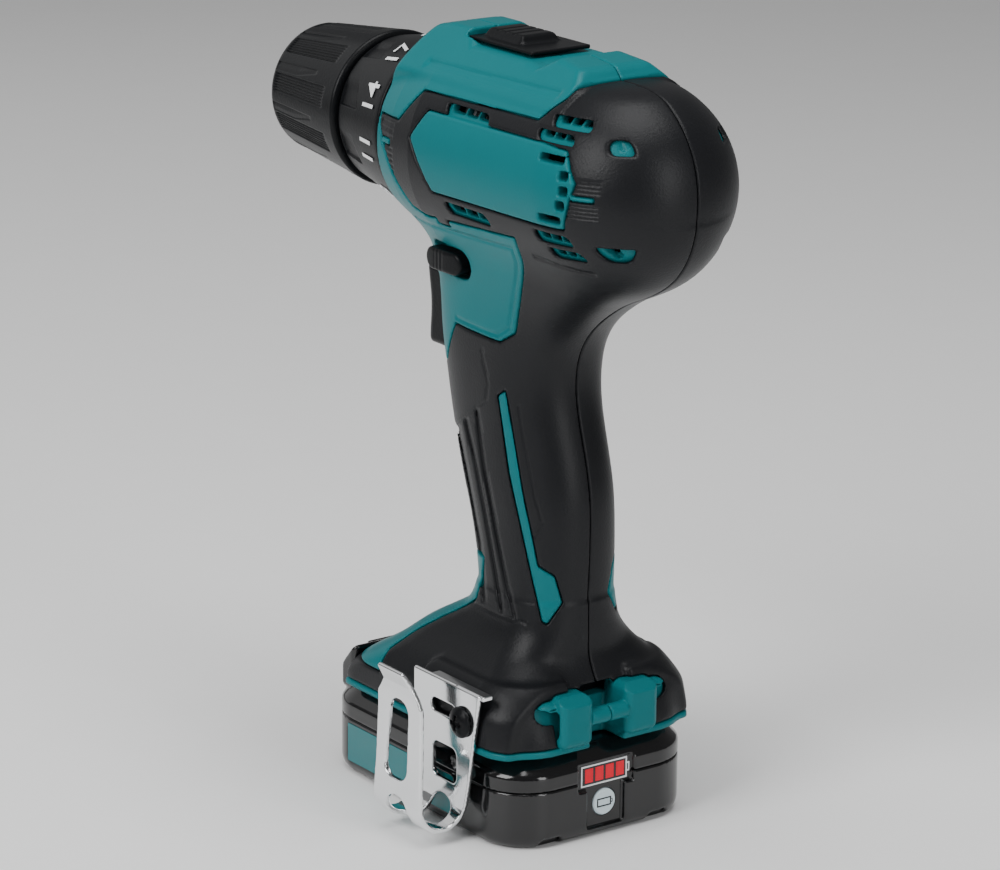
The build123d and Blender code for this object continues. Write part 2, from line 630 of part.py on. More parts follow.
CLIP_BEND = 5.8
bend_x = CLIP_X + 0.2 + CLIP_T + CLIP_BEND
bend_z = 10.8
inner_face = CLIP_X + 0.2
outer_face = bend_x + CLIP_BEND + CLIP_T
with BuildPart() as belt_clip:
    with BuildSketch(Plane(origin=(0, 0, 0), x_dir=(1, 0, 0), z_dir=(0, -1, 0))) as ribbon:
        with BuildLine():
            Line((inner_face, 42.8), (inner_face, bend_z))
            ThreePointArc((inner_face, bend_z), (bend_x, bend_z - CLIP_BEND - CLIP_T), (outer_face, bend_z))
            Polyline((outer_face, bend_z), (outer_face - 1.6, 40), (outer_face + 1.8, 47), (outer_face + 0.6, 47.6))
            Polyline((outer_face + 0.6, 47.6), (outer_face - CLIP_T - 1.6, 40), (outer_face - CLIP_T, bend_z))
            ThreePointArc((outer_face - CLIP_T, bend_z), (bend_x, bend_z - CLIP_BEND), (inner_face + CLIP_T, bend_z))
            Polyline((inner_face + CLIP_T, bend_z), (inner_face + CLIP_T, 42.8), (inner_face, 42.8))
        make_face()
    extrude(ribbon.sketch, amount=-60)
    plate = [(5.0, 47.8), (24.0, 47.8), (24.4, 42.8), (40.0, 42.8), (40.0, 39.0), (33.0, 29.0), (29.7, 16.0), (26.5, 2.0), (4.6, 2.0), (5.6, 20.0), (5.0, 38.0)]
    side_plate(plate, 20, 60, mode=Mode.INTERSECT)
    side_plate([(24.6, 60), (60, 60), (60, 0), (27.0, 0), (26.4, 12.0), (24.8, 30.0)], bend_x + 1, 60, mode=Mode.SUBTRACT)
    side_plate([(10.6, 18.5), (11.4, 38.0), (17.6, 38.0), (18.4, 18.5)], bend_x + 1, 60, mode=Mode.SUBTRACT)
    side_plate([(11.8, 2.0), (12.4, 11.0), (18.6, 11.0), (19.2, 2.0)], bend_x - 1, 60, mode=Mode.SUBTRACT)
    side_plate([(10.0, 14.0), (10.6, 28.0), (19.4, 28.0), (22.4, 14.0)], 20, bend_x - 1, mode=Mode.SUBTRACT)
    rod_x(27, 33.5, 2.15, 20, 40, mode=Mode.SUBTRACT)
    block(31.0, inner_face + 0.1, 12, 36, 41.4, 42.8)
save(belt_clip.part, "belt_clip")

with BuildPart() as clip_screw:
    rod_x(27, 33.5, 1.6, 24.6, inner_face + CLIP_T)
    head_x = inner_face + CLIP_T + 0.02
    with BuildSketch(Plane(origin=(head_x, 27, 33.5), x_dir=(0, 1, 0), z_dir=(1, 0, 0))) as head:
        Circle(4.2)
    extrude(head.sketch, amount=1.0)
    with BuildSketch(Plane(origin=(head_x + 1.0, 27, 33.5), x_dir=(0, 1, 0), z_dir=(1, 0, 0))) as dome_low:
        Circle(4.2)
    with BuildSketch(Plane(origin=(head_x + 2.4, 27, 33.5), x_dir=(0, 1, 0), z_dir=(1, 0, 0))) as dome_top:
        Circle(2.6)
    loft([dome_low.sketch, dome_top.sketch])
    with BuildSketch(Plane(origin=(head_x + 2.4, 27, 33.5), x_dir=(0, 1, 0), z_dir=(1, 0, 0))) as drive:
        Rectangle(3.6, 0.9)
        Rectangle(0.9, 3.6)
    extrude(drive.sketch, amount=-1.4, mode=Mode.SUBTRACT)
    rod_x(27, 33.5, 1.6, head_x - 0.5, head_x + 0.2)
save(clip_screw.part, "clip_screw")

# ---- Battery ----
def tray(z0, z1, inset, corner):
    with BuildSketch(Plane.XY.offset(z0)) as outline:
        RectangleRounded(BATTERY_W - 2 * inset, BATTERY_L - 2 * inset, corner)
    return outline.sketch, z1 - z0


with BuildPart() as battery_base:
    outline, height = tray(0, BATTERY_SPLIT - 0.1, 0, BATTERY_CORNER)
    extrude(outline, amount=height)
    chamfer(battery_base.faces().sort_by(Axis.Z)[0].edges(), 1.6)
    outline, height = tray(2.2, 20, 2.2, BATTERY_CORNER - 2.2)
    extrude(outline, amount=height, mode=Mode.SUBTRACT)
    block(-12.5, 12.5, 38.5, 43.5, 2.0, BATTERY_SPLIT - 0.1)
    block(-13.0, 13.0, -43.5, -39.5, 2.0, BATTERY_SPLIT - 0.1)
    for boss_x, boss_y in BOSS_SPOTS:
        with Locations((boss_x, boss_y, (BATTERY_SPLIT + 2.0) / 2)):
            Cylinder(2.6, BATTERY_SPLIT - 2.2)
        with Locations((boss_x, boss_y, 5)):
            Cylinder(1.35, 40, mode=Mode.SUBTRACT)
        with Locations((boss_x, boss_y, 0.9)):
            Cylinder(2.9, 2.0, mode=Mode.SUBTRACT)
    block(-9.2, 9.2, 43.2, 50, 13.2, 30, mode=Mode.SUBTRACT)
    block(-6.2, 6.2, 43.2, 50, 2.4, 14, mode=Mode.SUBTRACT)
    block(-9.05, 9.05, 41.8, 43.3, 13.35, 30, mode=Mode.SUBTRACT)
    block(-6.05, 6.05, 41.8, 43.3, 2.55, 14, mode=Mode.SUBTRACT)
    block(-4.4, 4.4, 36, 42, 4.5, 13.3, mode=Mode.SUBTRACT)
    block(-10.3, 10.3, -50, -41.0, 3.4, 30, mode=Mode.SUBTRACT)
    block(-8.0, 8.0, -42, -38, 3.4, 30, mode=Mode.SUBTRACT)
    block(30.6, 40, -32, 18, 3.4, 14.6, mode=Mode.SUBTRACT)
    block(-40, -30.6, -32, 18, 3.4, 14.6, mode=Mode.SUBTRACT)
save(battery_base.part, "battery_base")

with BuildPart() as battery_cover:
    outline, height = tray(BATTERY_SPLIT, BATTERY_TOP, 0, BATTERY_CORNER)
    extrude(outline, amount=height)
    chamfer(battery_cover.faces().sort_by(Axis.Z)[-1].edges(), 1.4)
    outline, height = tray(BATTERY_SPLIT - 1, BATTERY_TOP - 2.0, 2.2, BATTERY_CORNER - 2.2)
    extrude(outline, amount=height, mode=Mode.SUBTRACT)
    block(-12.5, 12.5, 38.5, 43.5, BATTERY_SPLIT, BATTERY_TOP - 1)
    block(-13.0, 13.0, -43.5, -39.5, BATTERY_SPLIT, BATTERY_TOP - 1)
    block(-14.2, 14.2, -43.0, RAIL_END, BATTERY_TOP - 1, 29.6)
    block(-17.0, 17.0, -43.0, RAIL_END, 29.5, 32.2)
    for slot_x in (-9.0, 0.0, 9.0):
        block(slot_x - 1.6, slot_x + 1.6, 5, RAIL_END + 1, 26.4, 33, mode=Mode.SUBTRACT)
    for boss_x, boss_y in BOSS_SPOTS:
        with Locations((boss_x, boss_y, 20.3)):
            Cylinder(2.6, 8.0)
        with Locations((boss_x, boss_y, 19.0)):
            Cylinder(1.2, 7.0, mode=Mode.SUBTRACT)
    block(-9.2, 9.2, 43.2, 50, BATTERY_SPLIT - 1, 20.9, mode=Mode.SUBTRACT)
    block(-9.05, 9.05, 41.8, 43.3, BATTERY_SPLIT - 1, 20.75, mode=Mode.SUBTRACT)
    block(-10.3, 10.3, -50, -41.0, BATTERY_SPLIT - 1, 21.6, mode=Mode.SUBTRACT)
    block(-8.0, 8.0, -42, -38, BATTERY_SPLIT - 1, 19.6, mode=Mode.SUBTRACT)
save(battery_cover.part, "battery_cover")

with BuildPart() as battery_screws:
    for boss_x, boss_y in BOSS_SPOTS:
        with Locations((boss_x, boss_y, 11.2)):
            Cylinder(1.15, 18.8)
        with Locations((boss_x, boss_y, 1.15)):
            Cylinder(2.6, 1.3)
save(battery_screws.part, "battery_screws")

with BuildPart() as battery_cells:
    for cell_x in (-18.7, 0.0, 18.7):
        tube(-33.0, 32.0, 9.15, x=cell_x, z=12.0)
save(battery_cells.part, "battery_cells")
with BuildPart() as battery_board:
    block(-19.5, 19.5, 33.0, 34.4, 4.0, 21.5)
save(battery_board.part, "battery_board")
with BuildPart() as battery_contacts:
    for slot_x in (-9.0, 0.0, 9.0):
        block(slot_x - 1.15, slot_x - 0.75, 9.0, 24.0, 26.42, 31.0)
        block(slot_x + 0.75, slot_x + 1.15, 9.0, 24.0, 26.42, 31.0)
    block(-22.0, 3.0, 32.05, 32.4, 8.5, 15.5)
    block(-3.0, 22.0, -33.4, -33.05, 8.5, 15.5)
save(battery_contacts.part, "battery_contacts")

with BuildPart() as gauge_panel:
    block(-9.0, 9.0, 41.85, 43.15, 13.4, 20.7)
    block(-6.0, 6.0, 41.85, 43.15, 2.6, 13.4)
    for count in range(4):
        bar_x = -6.6 + 3.4 * count
        block(bar_x, bar_x + 2.7, 42.3, 45, 15.1, 19.1, mode=Mode.SUBTRACT)
    with BuildSketch(across(40, 8.9)) as button_hole:
        Circle(3.95)
    extrude(button_hole.sketch, amount=-6, mode=Mode.SUBTRACT)
save(gauge_panel.part, "gauge_panel")
with BuildPart() as gauge_bars:
    for count in range(4):
        bar_x = -6.6 + 3.4 * count
        block(bar_x + 0.05, bar_x + 2.65, 42.35, 43.2, 15.15, 19.05)
save(gauge_bars.part, "gauge_bars")
with BuildPart() as gauge_button:
    tube(41.0, 43.6, 3.65, z=8.9)
    tube(39.6, 41.0, 4.15, z=8.9)
    chamfer(gauge_button.faces().filter_by(Axis.Y).sort_by(Axis.Y)[-1].edges(), 0.3)
save(gauge_button.part, "gauge_button")

with BuildPart() as release_button:
    block(-10.0, 10.0, -44.9, -42.4, 9.0, 21.2)
    block(-7.6, 7.6, -42.4, -39.6, 9.0, 19.2)
    for rib_z in (11.0, 13.2, 15.4, 17.6):
        block(-8.0, 8.0, -46, -44.5, rib_z, rib_z + 0.9, mode=Mode.SUBTRACT)
save(release_button.part, "release_button")
with BuildPart() as release_spring:
    with BuildLine() as release_coil:
        Helix(pitch=1.25, height=5.0, radius=1.3)
    with BuildSketch(release_coil.line ^ 0):
        Circle(0.22)
    sweep(is_frenet=True)
save(release_spring.part.moved(Location((0, -40.9, 3.7))), "release_spring")

with BuildPart() as side_labels:
    block(30.62, 30.88, -31.8, 17.8, 3.6, 14.4)
    block(-30.88, -30.62, -31.8, 17.8, 3.6, 14.4)
save(side_labels.part, "side_labels")
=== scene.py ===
import json
import math

import bpy
import numpy as np
from mathutils import Matrix, Vector


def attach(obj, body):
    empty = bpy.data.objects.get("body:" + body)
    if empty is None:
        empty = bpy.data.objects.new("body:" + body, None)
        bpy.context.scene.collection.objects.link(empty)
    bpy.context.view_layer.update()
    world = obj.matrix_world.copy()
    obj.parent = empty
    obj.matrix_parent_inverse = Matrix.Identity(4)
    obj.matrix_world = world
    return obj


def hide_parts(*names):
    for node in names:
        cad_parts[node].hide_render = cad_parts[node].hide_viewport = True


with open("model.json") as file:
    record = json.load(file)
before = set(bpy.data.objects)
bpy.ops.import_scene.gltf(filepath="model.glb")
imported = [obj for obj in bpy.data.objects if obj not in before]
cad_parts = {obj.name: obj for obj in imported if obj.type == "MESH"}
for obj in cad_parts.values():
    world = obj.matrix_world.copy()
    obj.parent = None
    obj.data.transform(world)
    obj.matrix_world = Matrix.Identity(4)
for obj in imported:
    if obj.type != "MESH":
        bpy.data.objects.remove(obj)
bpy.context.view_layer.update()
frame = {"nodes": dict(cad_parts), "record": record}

MM = 0.001
AXIS_Z = 178.0        # spindle height, in millimetres like every shape below
SHELL_Z = 177.0
FINE = 0.5
COLLAR_GAP = -26.9    # the torque ring turns in front of this plane


# ---------------------------------------------------------------- materials
def shader(name, colour, rough, metal=0.0, coat=0.0, grain=(900.0, 0.02), blotch=0.06, wear=None, shine=0.5):
    """Principled material with uneven gloss, a fine moulded grain and faint mottling."""
    mat = bpy.data.materials.new(name)
    mat.use_nodes = True
    nodes, links = mat.node_tree.nodes, mat.node_tree.links
    body = nodes["Principled BSDF"]
    body.inputs["Metallic"].default_value = metal
    body.inputs["Coat Weight"].default_value = coat
    body.inputs["Coat Roughness"].default_value = 0.08
    body.inputs["Specular IOR Level"].default_value = shine
    place = nodes.new("ShaderNodeTexCoord")
    large = nodes.new("ShaderNodeTexNoise")
    large.inputs["Scale"].default_value = 45.0
    large.inputs["Detail"].default_value = 6.0
    links.new(place.outputs["Object"], large.inputs["Vector"])
    gloss = nodes.new("ShaderNodeMapRange")
    gloss.inputs["To Min"].default_value = rough * (1.0 - 2.2 * blotch)
    gloss.inputs["To Max"].default_value = rough * (1.0 + 2.2 * blotch)
    links.new(large.outputs["Fac"], gloss.inputs["Value"])
    links.new(gloss.outputs["Result"], body.inputs["Roughness"])
    tint = nodes.new("ShaderNodeMix")
    tint.data_type = "RGBA"
    tint.inputs["A"].default_value = tuple(c * (1 - blotch) for c in colour) + (1,)
    tint.inputs["B"].default_value = tuple(min(1, c * (1 + blotch) + 0.0006) for c in colour) + (1,)
    links.new(large.outputs["Fac"], tint.inputs["Factor"])
    colour_out = tint.outputs["Result"]
    if wear:
        marks = nodes.new("ShaderNodeTexNoise")
        marks.inputs["Scale"].default_value = 160.0
        marks.inputs["Detail"].default_value = 8.0
        marks.inputs["Roughness"].default_value = 0.7
        links.new(place.outputs["Object"], marks.inputs["Vector"])
        pick = nodes.new("ShaderNodeMapRange")
        pick.inputs["From Min"].default_value = 0.66
        pick.inputs["From Max"].default_value = 0.74
        links.new(marks.outputs["Fac"], pick.inputs["Value"])
        worn = nodes.new("ShaderNodeMix")
        worn.data_type = "RGBA"
        worn.inputs["B"].default_value = tuple(wear) + (1,)
        links.new(pick.outputs["Result"], worn.inputs["Factor"])
        links.new(colour_out, worn.inputs["A"])
        colour_out = worn.outputs["Result"]
    links.new(colour_out, body.inputs["Base Color"])
    fine = nodes.new("ShaderNodeTexNoise")
    fine.inputs["Scale"].default_value = grain[0]
    fine.inputs["Detail"].default_value = 3.0
    links.new(place.outputs["Object"], fine.inputs["Vector"])
    bump = nodes.new("ShaderNodeBump")
    bump.inputs["Strength"].default_value = grain[1] * 5
    bump.inputs["Distance"].default_value = 0.0002
    links.new(fine.outputs["Fac"], bump.inputs["Height"])
    links.new(bump.outputs["Normal"], body.inputs["Normal"])
    return mat


TEAL = shader("teal_plastic", (0.0, 0.135, 0.15), 0.36, grain=(1500, 0.03), shine=0.16)
RUBBER = shader("black_elastomer", (0.0065, 0.007, 0.0085), 0.4, grain=(1800, 0.06),
                wear=(0.016, 0.018, 0.02), shine=0.22)
SATIN = shader("black_satin_plastic", (0.0045, 0.005, 0.006), 0.33, grain=(1400, 0.05), shine=0.14)
GLOSS = shader("black_gloss_plastic", (0.003, 0.003, 0.0035), 0.12, coat=0.2, grain=(300, 0.008))
CHROME = shader("bright_chrome", (0.82, 0.83, 0.84), 0.1, metal=1.0, grain=(500, 0.012))
STEEL = shader("machined_steel", (0.5, 0.5, 0.51), 0.28, metal=1.0, grain=(900, 0.04))
DARK_STEEL = shader("black_oxide_steel", (0.045, 0.046, 0.05), 0.3, metal=0.7, grain=(900, 0.03))
ZINC = shader("plated_sheet", (0.55, 0.56, 0.57), 0.33, metal=1.0, grain=(700, 0.03))
CAST = shader("die_cast", (0.42, 0.43, 0.44), 0.5, metal=0.9, grain=(1100, 0.1))
BRASS = shader("brass", (0.62, 0.44, 0.18), 0.3, metal=1.0)
COPPER = shader("copper", (0.7, 0.33, 0.17), 0.3, metal=1.0)
CARBON = shader("pressed_carbon", (0.02, 0.02, 0.02), 0.6, grain=(1600, 0.1))
WHITE = shader("white_print", (0.82, 0.83, 0.84), 0.4)
PALE = shader("pale_button", (0.62, 0.73, 0.77), 0.38)
BOARD = shader("circuit_board", (0.02, 0.16, 0.07), 0.35)
CELL = shader("cell_sleeve", (0.03, 0.2, 0.42), 0.25, coat=0.3)
NYLON = shader("nylon_gear", (0.62, 0.62, 0.58), 0.45)
LABEL = shader("label_film", (0.0, 0.14, 0.155), 0.24, coat=0.15)
RED = shader("red_window", (0.78, 0.001, 0.022), 0.3, shine=0.3)
LENS = shader("lens_clear", (0.8, 0.85, 0.88), 0.08)
LENS.node_tree.nodes["Principled BSDF"].inputs["Transmission Weight"].default_value = 0.9
LAMP = shader("lamp_body", (0.85, 0.84, 0.7), 0.25)


# ---------------------------------------------------------------- field meshes
def smax(a, b, k):
    h = np.clip(0.5 + 0.5 * (a - b) / k, 0.0, 1.0)
    return b + (a - b) * h + k * h * (1.0 - h)


def smin(a, b, k):
    return -smax(-a, -b, k)


def lattice(low, high, step):
    axes = [np.arange(a - 2 * step, b + 2.5 * step, step, dtype=np.float32) for a, b in zip(low, high)]
    return axes, axes[0][:, None, None], axes[1][None, :, None], axes[2][None, None, :]


CORNERS = [(i, j, k) for i in (0, 1) for j in (0, 1) for k in (0, 1)]


def skin(field, axes):
    """Surface nets: one vertex in each crossed cell, moved onto the zero level, with field normals."""
    inside = field < 0
    count = sum(inside[i:inside.shape[0] - 1 + i, j:inside.shape[1] - 1 + j,
                       k:inside.shape[2] - 1 + k].astype(np.int8)
                for i, j, k in CORNERS)
    active = (count > 0) & (count < 8)
    cells = np.argwhere(active)
    index = np.full(active.shape, -1, dtype=np.int64)
    index[active] = np.arange(len(cells))
    values = {c: field[cells[:, 0] + c[0], cells[:, 1] + c[1],
                       cells[:, 2] + c[2]].astype(np.float64) for c in CORNERS}
    spot = np.zeros((len(cells), 3))
    hits = np.zeros(len(cells))
    slope = np.zeros((len(cells), 3))
    for axis in range(3):
        for c in CORNERS:
            if c[axis]:
                continue
            d = tuple(v + (n == axis) for n, v in enumerate(c))
            va, vb = values[c], values[d]
            slope[:, axis] += (vb - va) / 4
            cross = (va < 0) != (vb < 0)
            share = np.where(cross, va / np.where(cross, va - vb, 1), 0)
            place = np.tile(np.array(c, float), (len(cells), 1))
            place[:, axis] += share
            spot += place * cross[:, None]
            hits += cross
    spot /= hits[:, None]
    size = np.maximum(np.linalg.norm(slope, axis=1), 1e-6)
    here = sum(values[c] * np.prod([spot[:, n] if c[n] else 1 - spot[:, n] for n in range(3)],
                                   axis=0) for c in CORNERS)
    spot -= np.clip(here / size ** 2, -0.4, 0.4)[:, None] * slope
    spot = np.clip(spot, -0.2, 1.2)
    step = axes[0][1] - axes[0][0]
    verts = np.array([a[0] for a in axes]) + (cells + spot) * step
    quads = []
    for axis in range(3):
        u, v = (axis + 1) % 3, (axis + 2) % 3
        low = [slice(None)] * 3
        low[axis], low[u], low[v] = slice(None, -1), slice(1, -1), slice(1, -1)
        high = list(low)
        high[axis] = slice(1, None)
        first, second = inside[tuple(low)], inside[tuple(high)]
        edge = np.argwhere(first != second)
        outward = first[first != second]
        base = edge.copy()
        base[:, u] += 1
        base[:, v] += 1
        ring = []
        for du, dv in ((-1, -1), (0, -1), (0, 0), (-1, 0)):
            cell = base.copy()
            cell[:, u] += du
            cell[:, v] += dv
            ring.append(index[cell[:, 0], cell[:, 1], cell[:, 2]])
        face = np.stack(ring, axis=1)
        face[~outward] = face[~outward][:, ::-1]
        quads.append(face)
    return verts, np.concatenate(quads), slope / size[:, None]


def mesh_object(name, verts, faces, mat, normals=None, smooth=True, mirror=False):
    """Mesh from arrays in millimetres; mirror flips it to the other side of the seam."""
    verts = np.array(verts, dtype=np.float64) * MM
    faces = np.array(faces)
    if mirror:
        verts[:, 0] *= -1
        faces = faces[:, ::-1]
        if normals is not None:
            normals = normals * np.array([-1, 1, 1])
    mesh = bpy.data.meshes.new(name)
    mesh.from_pydata(verts.tolist(), [], faces.tolist())
    mesh.validate()
    if smooth:
        mesh.polygons.foreach_set("use_smooth", [True] * len(mesh.polygons))
    if normals is not None and len(mesh.vertices) == len(normals):
        mesh.normals_split_custom_set_from_vertices(normals.tolist())
    obj = bpy.data.objects.new(name, mesh)
    bpy.context.collection.objects.link(obj)
    obj.data.materials.append(mat)
    return obj


def place(obj, body, slot, *replaced):
    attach(obj, body)
    if replaced:
        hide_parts(*replaced)
    return obj


def carved(name, low, high, step, field, mat):
    """Piece from a field function of x, y and z in millimetres."""
    axes, x, y, z = lattice(low, high, step)
    verts, quads, normals = skin(np.broadcast_to(field(x, y, z), [len(a) for a in axes]), axes)
    return mesh_object(name, verts, quads, mat, normals)


def box_field(x, y, z, low, high, r=0.0):
    """Distance to a box with edges of radius r."""
    centre = [(a + b) / 2 for a, b in zip(low, high)]
    half = [(b - a) / 2 - r for a, b in zip(low, high)]
    d = [abs(v - c) - h for v, c, h in zip((x, y, z), centre, half)]
    outer = np.sqrt(sum(np.maximum(v, 0) ** 2 for v in d))
    return outer + np.minimum(np.maximum(np.maximum(d[0], d[1]), d[2]), 0) - r


def slab_field(u, v, half_u, half_v, r):
    du, dv = abs(u) - (half_u - r), abs(v) - (half_v - r)
    return np.sqrt(np.maximum(du, 0) ** 2 + np.maximum(dv, 0) ** 2) + np.minimum(np.maximum(du, dv), 0) - r


def outline_field(points, u, v, r=0.0):
    """Signed distance to a closed outline in two coordinates, corners rounded by r."""
    best = np.full(np.broadcast(u, v).shape, 1e9, dtype=np.float32)
    crossings = np.zeros(best.shape, dtype=bool)
    for (au, av), (bu, bv) in zip(points, points[1:] + points[:1]):
        eu, ev = bu - au, bv - av
        wu, wv = u - au, v - av
        t = np.clip((wu * eu + wv * ev) / (eu * eu + ev * ev), 0, 1)
        best = np.minimum(best, (wu - t * eu) ** 2 + (wv - t * ev) ** 2)
        level = (av <= v) != (bv <= v)
        if ev != 0:
            crossings ^= level & (u < au + (v - av) * eu / ev)
    return np.where(crossings, -1, 1) * np.sqrt(best) - r


def line_field(points, u, v):
    best = 1e9
    for (au, av), (bu, bv) in zip(points, points[1:]):
        eu, ev = bu - au, bv - av
        t = np.clip(((u - au) * eu + (v - av) * ev) / (eu * eu + ev * ev), 0, 1)
        best = np.minimum(best, np.hypot(u - au - t * eu, v - av - t * ev))
    return best


# ---------------------------------------------------------------- body mouldings
HANDLE = [  # height, front, back, half width
    (50, -1.6, 34.8, 15.6), (62, -1.8, 35.0, 15.4), (70, -3.0, 35.6, 15.5), (80, -6.2, 36.0, 15.5),
    (90, -10.6, 35.8, 15.6), (100, -14.2, 33.6, 15.4), (110, -16.6, 30.2, 15.6), (118, -17.4, 28.4, 16.2),
    (128, -19.5, 29.4, 16.8), (136, -20.6, 34.6, 17.0), (144, -23.2, 46.0, 17.6), (152, -26.4, 62.0, 19.4),
    (162, -26.8, 70.0, 20.4),
]
FRONT_FACE = [
    (-60, 230), (49, 230), (45.4, 199.9), (40.2, 194.3), (-8.5, 193.4), (-15.4, 184.8), (-26.3, 184.6),
    (-25.4, 181.4), (-13.0, 161.8), (-6.2, 160.6), (-2.2, 160.9),
    (-2.2, 159.3), (3.4, 159.5), (3.4, 161.3), (34.0, 163.2), (32.3, 156.0), (24.6, 140.1), (22.1, 134.2),
    (16.7, 130.9), (-2.4, 131.8), (-10, 119.4), (-60, 119.4),
]
PANEL = [(-2.6, 188.8), (-7.2, 182.0), (1.8, 169.6), (55.7, 170.4), (58.8, 181.8), (54.6, 188.7),
         (45.9, 189.3)]
NOSE = [(-60, 70), (9, 70), (6, 57.6), (-4.5, 50.6), (-11.3, 45.4), (-16.4, 39.6), (-17, 33.6), (-60, 33.6),
        (-60, 27.3),
        (60, 27.3), (60, 20), (-90, 20), (-90, 70)]
DASHES = [(61.6, 178.4, 2.9, 0.65), (-21.0, 178.2, 2.3, 0.8)]
# Each outline lies on a plane of constant x and is projected along SIGHT onto the grip: (x, outline).
SIGHT = (1.376, 0.508)  # change of y and of z per millimetre of x
INLAY = (15.5, [(15.9, 116), (18.8, 118), (21.4, 110.1), (26.8, 92.3), (31.1, 81.5), (33.8, 74.1),
                (41.3, 73.1), (44.7, 67),
                (38.2, 59.7), (36.1, 59.8), (31.3, 71.1), (21.2, 96.1)])
GRIP_LINES = [
    (11.0, 0.7, 0.75, [(-8.4, 101), (-2.5, 84.9), (2.0, 71.7), (3.9, 56.5)]),
    (13.0, 0.7, 0.75, [(-2.1, 105), (2.8, 93), (7.3, 80.4), (11.8, 66.8), (14.5, 56.8)]),
    (14.5, 0.7, 0.75, [(4.7, 109.5), (8.3, 94.7), (13.7, 79.2), (19, 64.8), (22.6, 57.2)]),
    (14.0, 0.3, 0.4, [(-9, 100.6), (-4.6, 103.5), (8.3, 112.9), (9.2, 117.4), (6.1, 126)]),
    (15.5, 0.3, 0.4, [(24.7, 115.5), (27.4, 106.4), (31.8, 93.6), (35.6, 86.8), (32, 81.7)]),
    (15.0, 0.3, 0.4, [(4.4, 56.2), (13, 56.0), (18.1, 56.2), (28.4, 57.2)]),
]
VENTS = [  # centre along y, centre height, length, height
    (13.2, 190.9, 18.0, 2.8), (51.8, 195.2, 12.0, 2.6), (49.2, 191.6, 12.6, 2.3), (15.4, 165.8, 18.0, 2.9),
    (51.2, 166.7, 11.8, 2.6), (54.0, 162.7, 10.0, 2.3), (67.6, 191.1, 7.0, 3.3), (68.2, 164.3, 10.0, 3.7),
]
PANEL_VENTS = [(51.0, 186.9, 8.4, 2.0), (56.0, 183.4, 2.8, 2.4), (56.4, 179.7, 2.8, 2.4),
               (55.6, 176.0, 2.8, 2.4),
               (51.8, 172.1, 7.6, 1.9)]
SCREW_SPOTS = [(54, 154.5), (30, 150), (8, 112), (20, 78), (24, 46), (-9, 42)]
FOOT = [  # height, front, back, half width, corner
    (25.4, -44.4, 44.4, 30.9, 14.0), (29.0, -42.0, 44.0, 31.0, 13.5), (36.0, -31.5, 42.0, 30.5, 12.5),
    (42.0, -22.0, 38.8, 26.8, 12.0), (48.0, -16.0, 34.4, 21.0, 11.0), (55.0, -5.0, 34.0, 15.6, 11.5),
    (63.0, 0.0, 33.0, 13.0, 12.0),
]


def eased(table, z, width=4.0):
    """Section sizes read from a short table and smoothed along the height."""
    heights = np.arange(table[0][0] - 20, table[-1][0] + 20, 0.5)
    kernel = np.exp(-0.5 * (np.arange(-24, 25) * 0.5 / width) ** 2)
    kernel /= kernel.sum()
    columns = list(zip(*table))
    found = []
    for column in columns[1:]:
        row = np.interp(heights, columns[0], column)
        row = np.convolve(np.pad(row, 24, mode="edge"), kernel, mode="valid")
        found.append(np.interp(z, heights, row).astype(np.float32))
    return found


def body_field(x, y, z):
    """Outer surface of the whole moulded body."""
    r = np.sqrt(x ** 2 + (z - SHELL_Z) ** 2)
    tail = np.maximum(y - 45.0, 0) / 32.4
    barrel = 28.0 * ((r / 28.0) ** 2.12 + tail ** 2.12) ** (1 / 2.12) - 28.0
    taper = np.interp(y, [-27, -19, -8, 0], [3.3, 1.6, 0.1, 0.0]).astype(np.float32)
    barrel = barrel + taper
    barrel = smax(barrel, z - 202.9, 3.0)
    top = 208.3 - 2.2 * np.clip((y - 22.0) / 20.0, 0, 1) - 3.4 * np.clip((-6.5 - y) / -5.0, 0,
                                                                         1) * np.clip((32.5 - y) / 5.0, 0, 1)
    top = top - np.clip((-16.0 - y) * 0.2, 0, 4)
    hood = smax(z - top, 0.694 * (x - 19.2) + 0.72 * (z - 198.0), 1.2)
    hood = smax(hood, 0.993 * (x - 20.4) - 0.115 * (z - 198.0), 1.2)
    hood = smax(hood, 0.75 * (y - 46.0) + 0.66 * (z - 202.6), 1.5)
    hood = smax(hood, -26.7 - y, 0.4)
    hood = smax(hood, 0.7 * (np.sqrt(x ** 2 + (z - AXIS_Z) ** 2) - 25.2 - 1.0 * (y + 26.7)), 0.8)
    hood = np.maximum(hood, 182.0 - z)
    hood = np.maximum(hood, y - 47.0)
    upper = smin(barrel, hood, 1.2)
    front, back, half = eased(HANDLE, z)
    middle, reach = (front + back) / 2, (back - front) / 2
    q = ((np.abs(x) / half) ** 2.5 + (np.abs(y - middle) / reach) ** 2.5) ** (1 / 2.5)
    stem = (q - 1) * np.minimum(half, reach)
    stem = np.maximum(stem, z - 168.0)
    stem = np.maximum(stem, 40.0 - z)
    whole = smin(upper, stem, 5.0)
    low, back_y, wide, corner = eased(FOOT, z, 1.2)
    foot = 0.8 * slab_field(x, y - (low + back_y) / 2, wide, (back_y - low) / 2, corner)
    foot = np.maximum(foot, z - 60.0)
    pad = box_field(x, y, z, (10, 3.0, 20), (32.7, 40.8, 43.4), 1.0)
    pad = smax(pad, 0.55 * (x - 32.7) + 0.83 * (z - 43.0), 0.6)
    pad = smax(pad, 0.6 * (3.6 - y) + 0.8 * (z - 42.0), 0.6)
    pad = smax(pad, foot - 1.7, 0.8)
    foot = smin(foot, pad, 1.6)
    whole = smin(whole, foot, 4.0)
    return whole


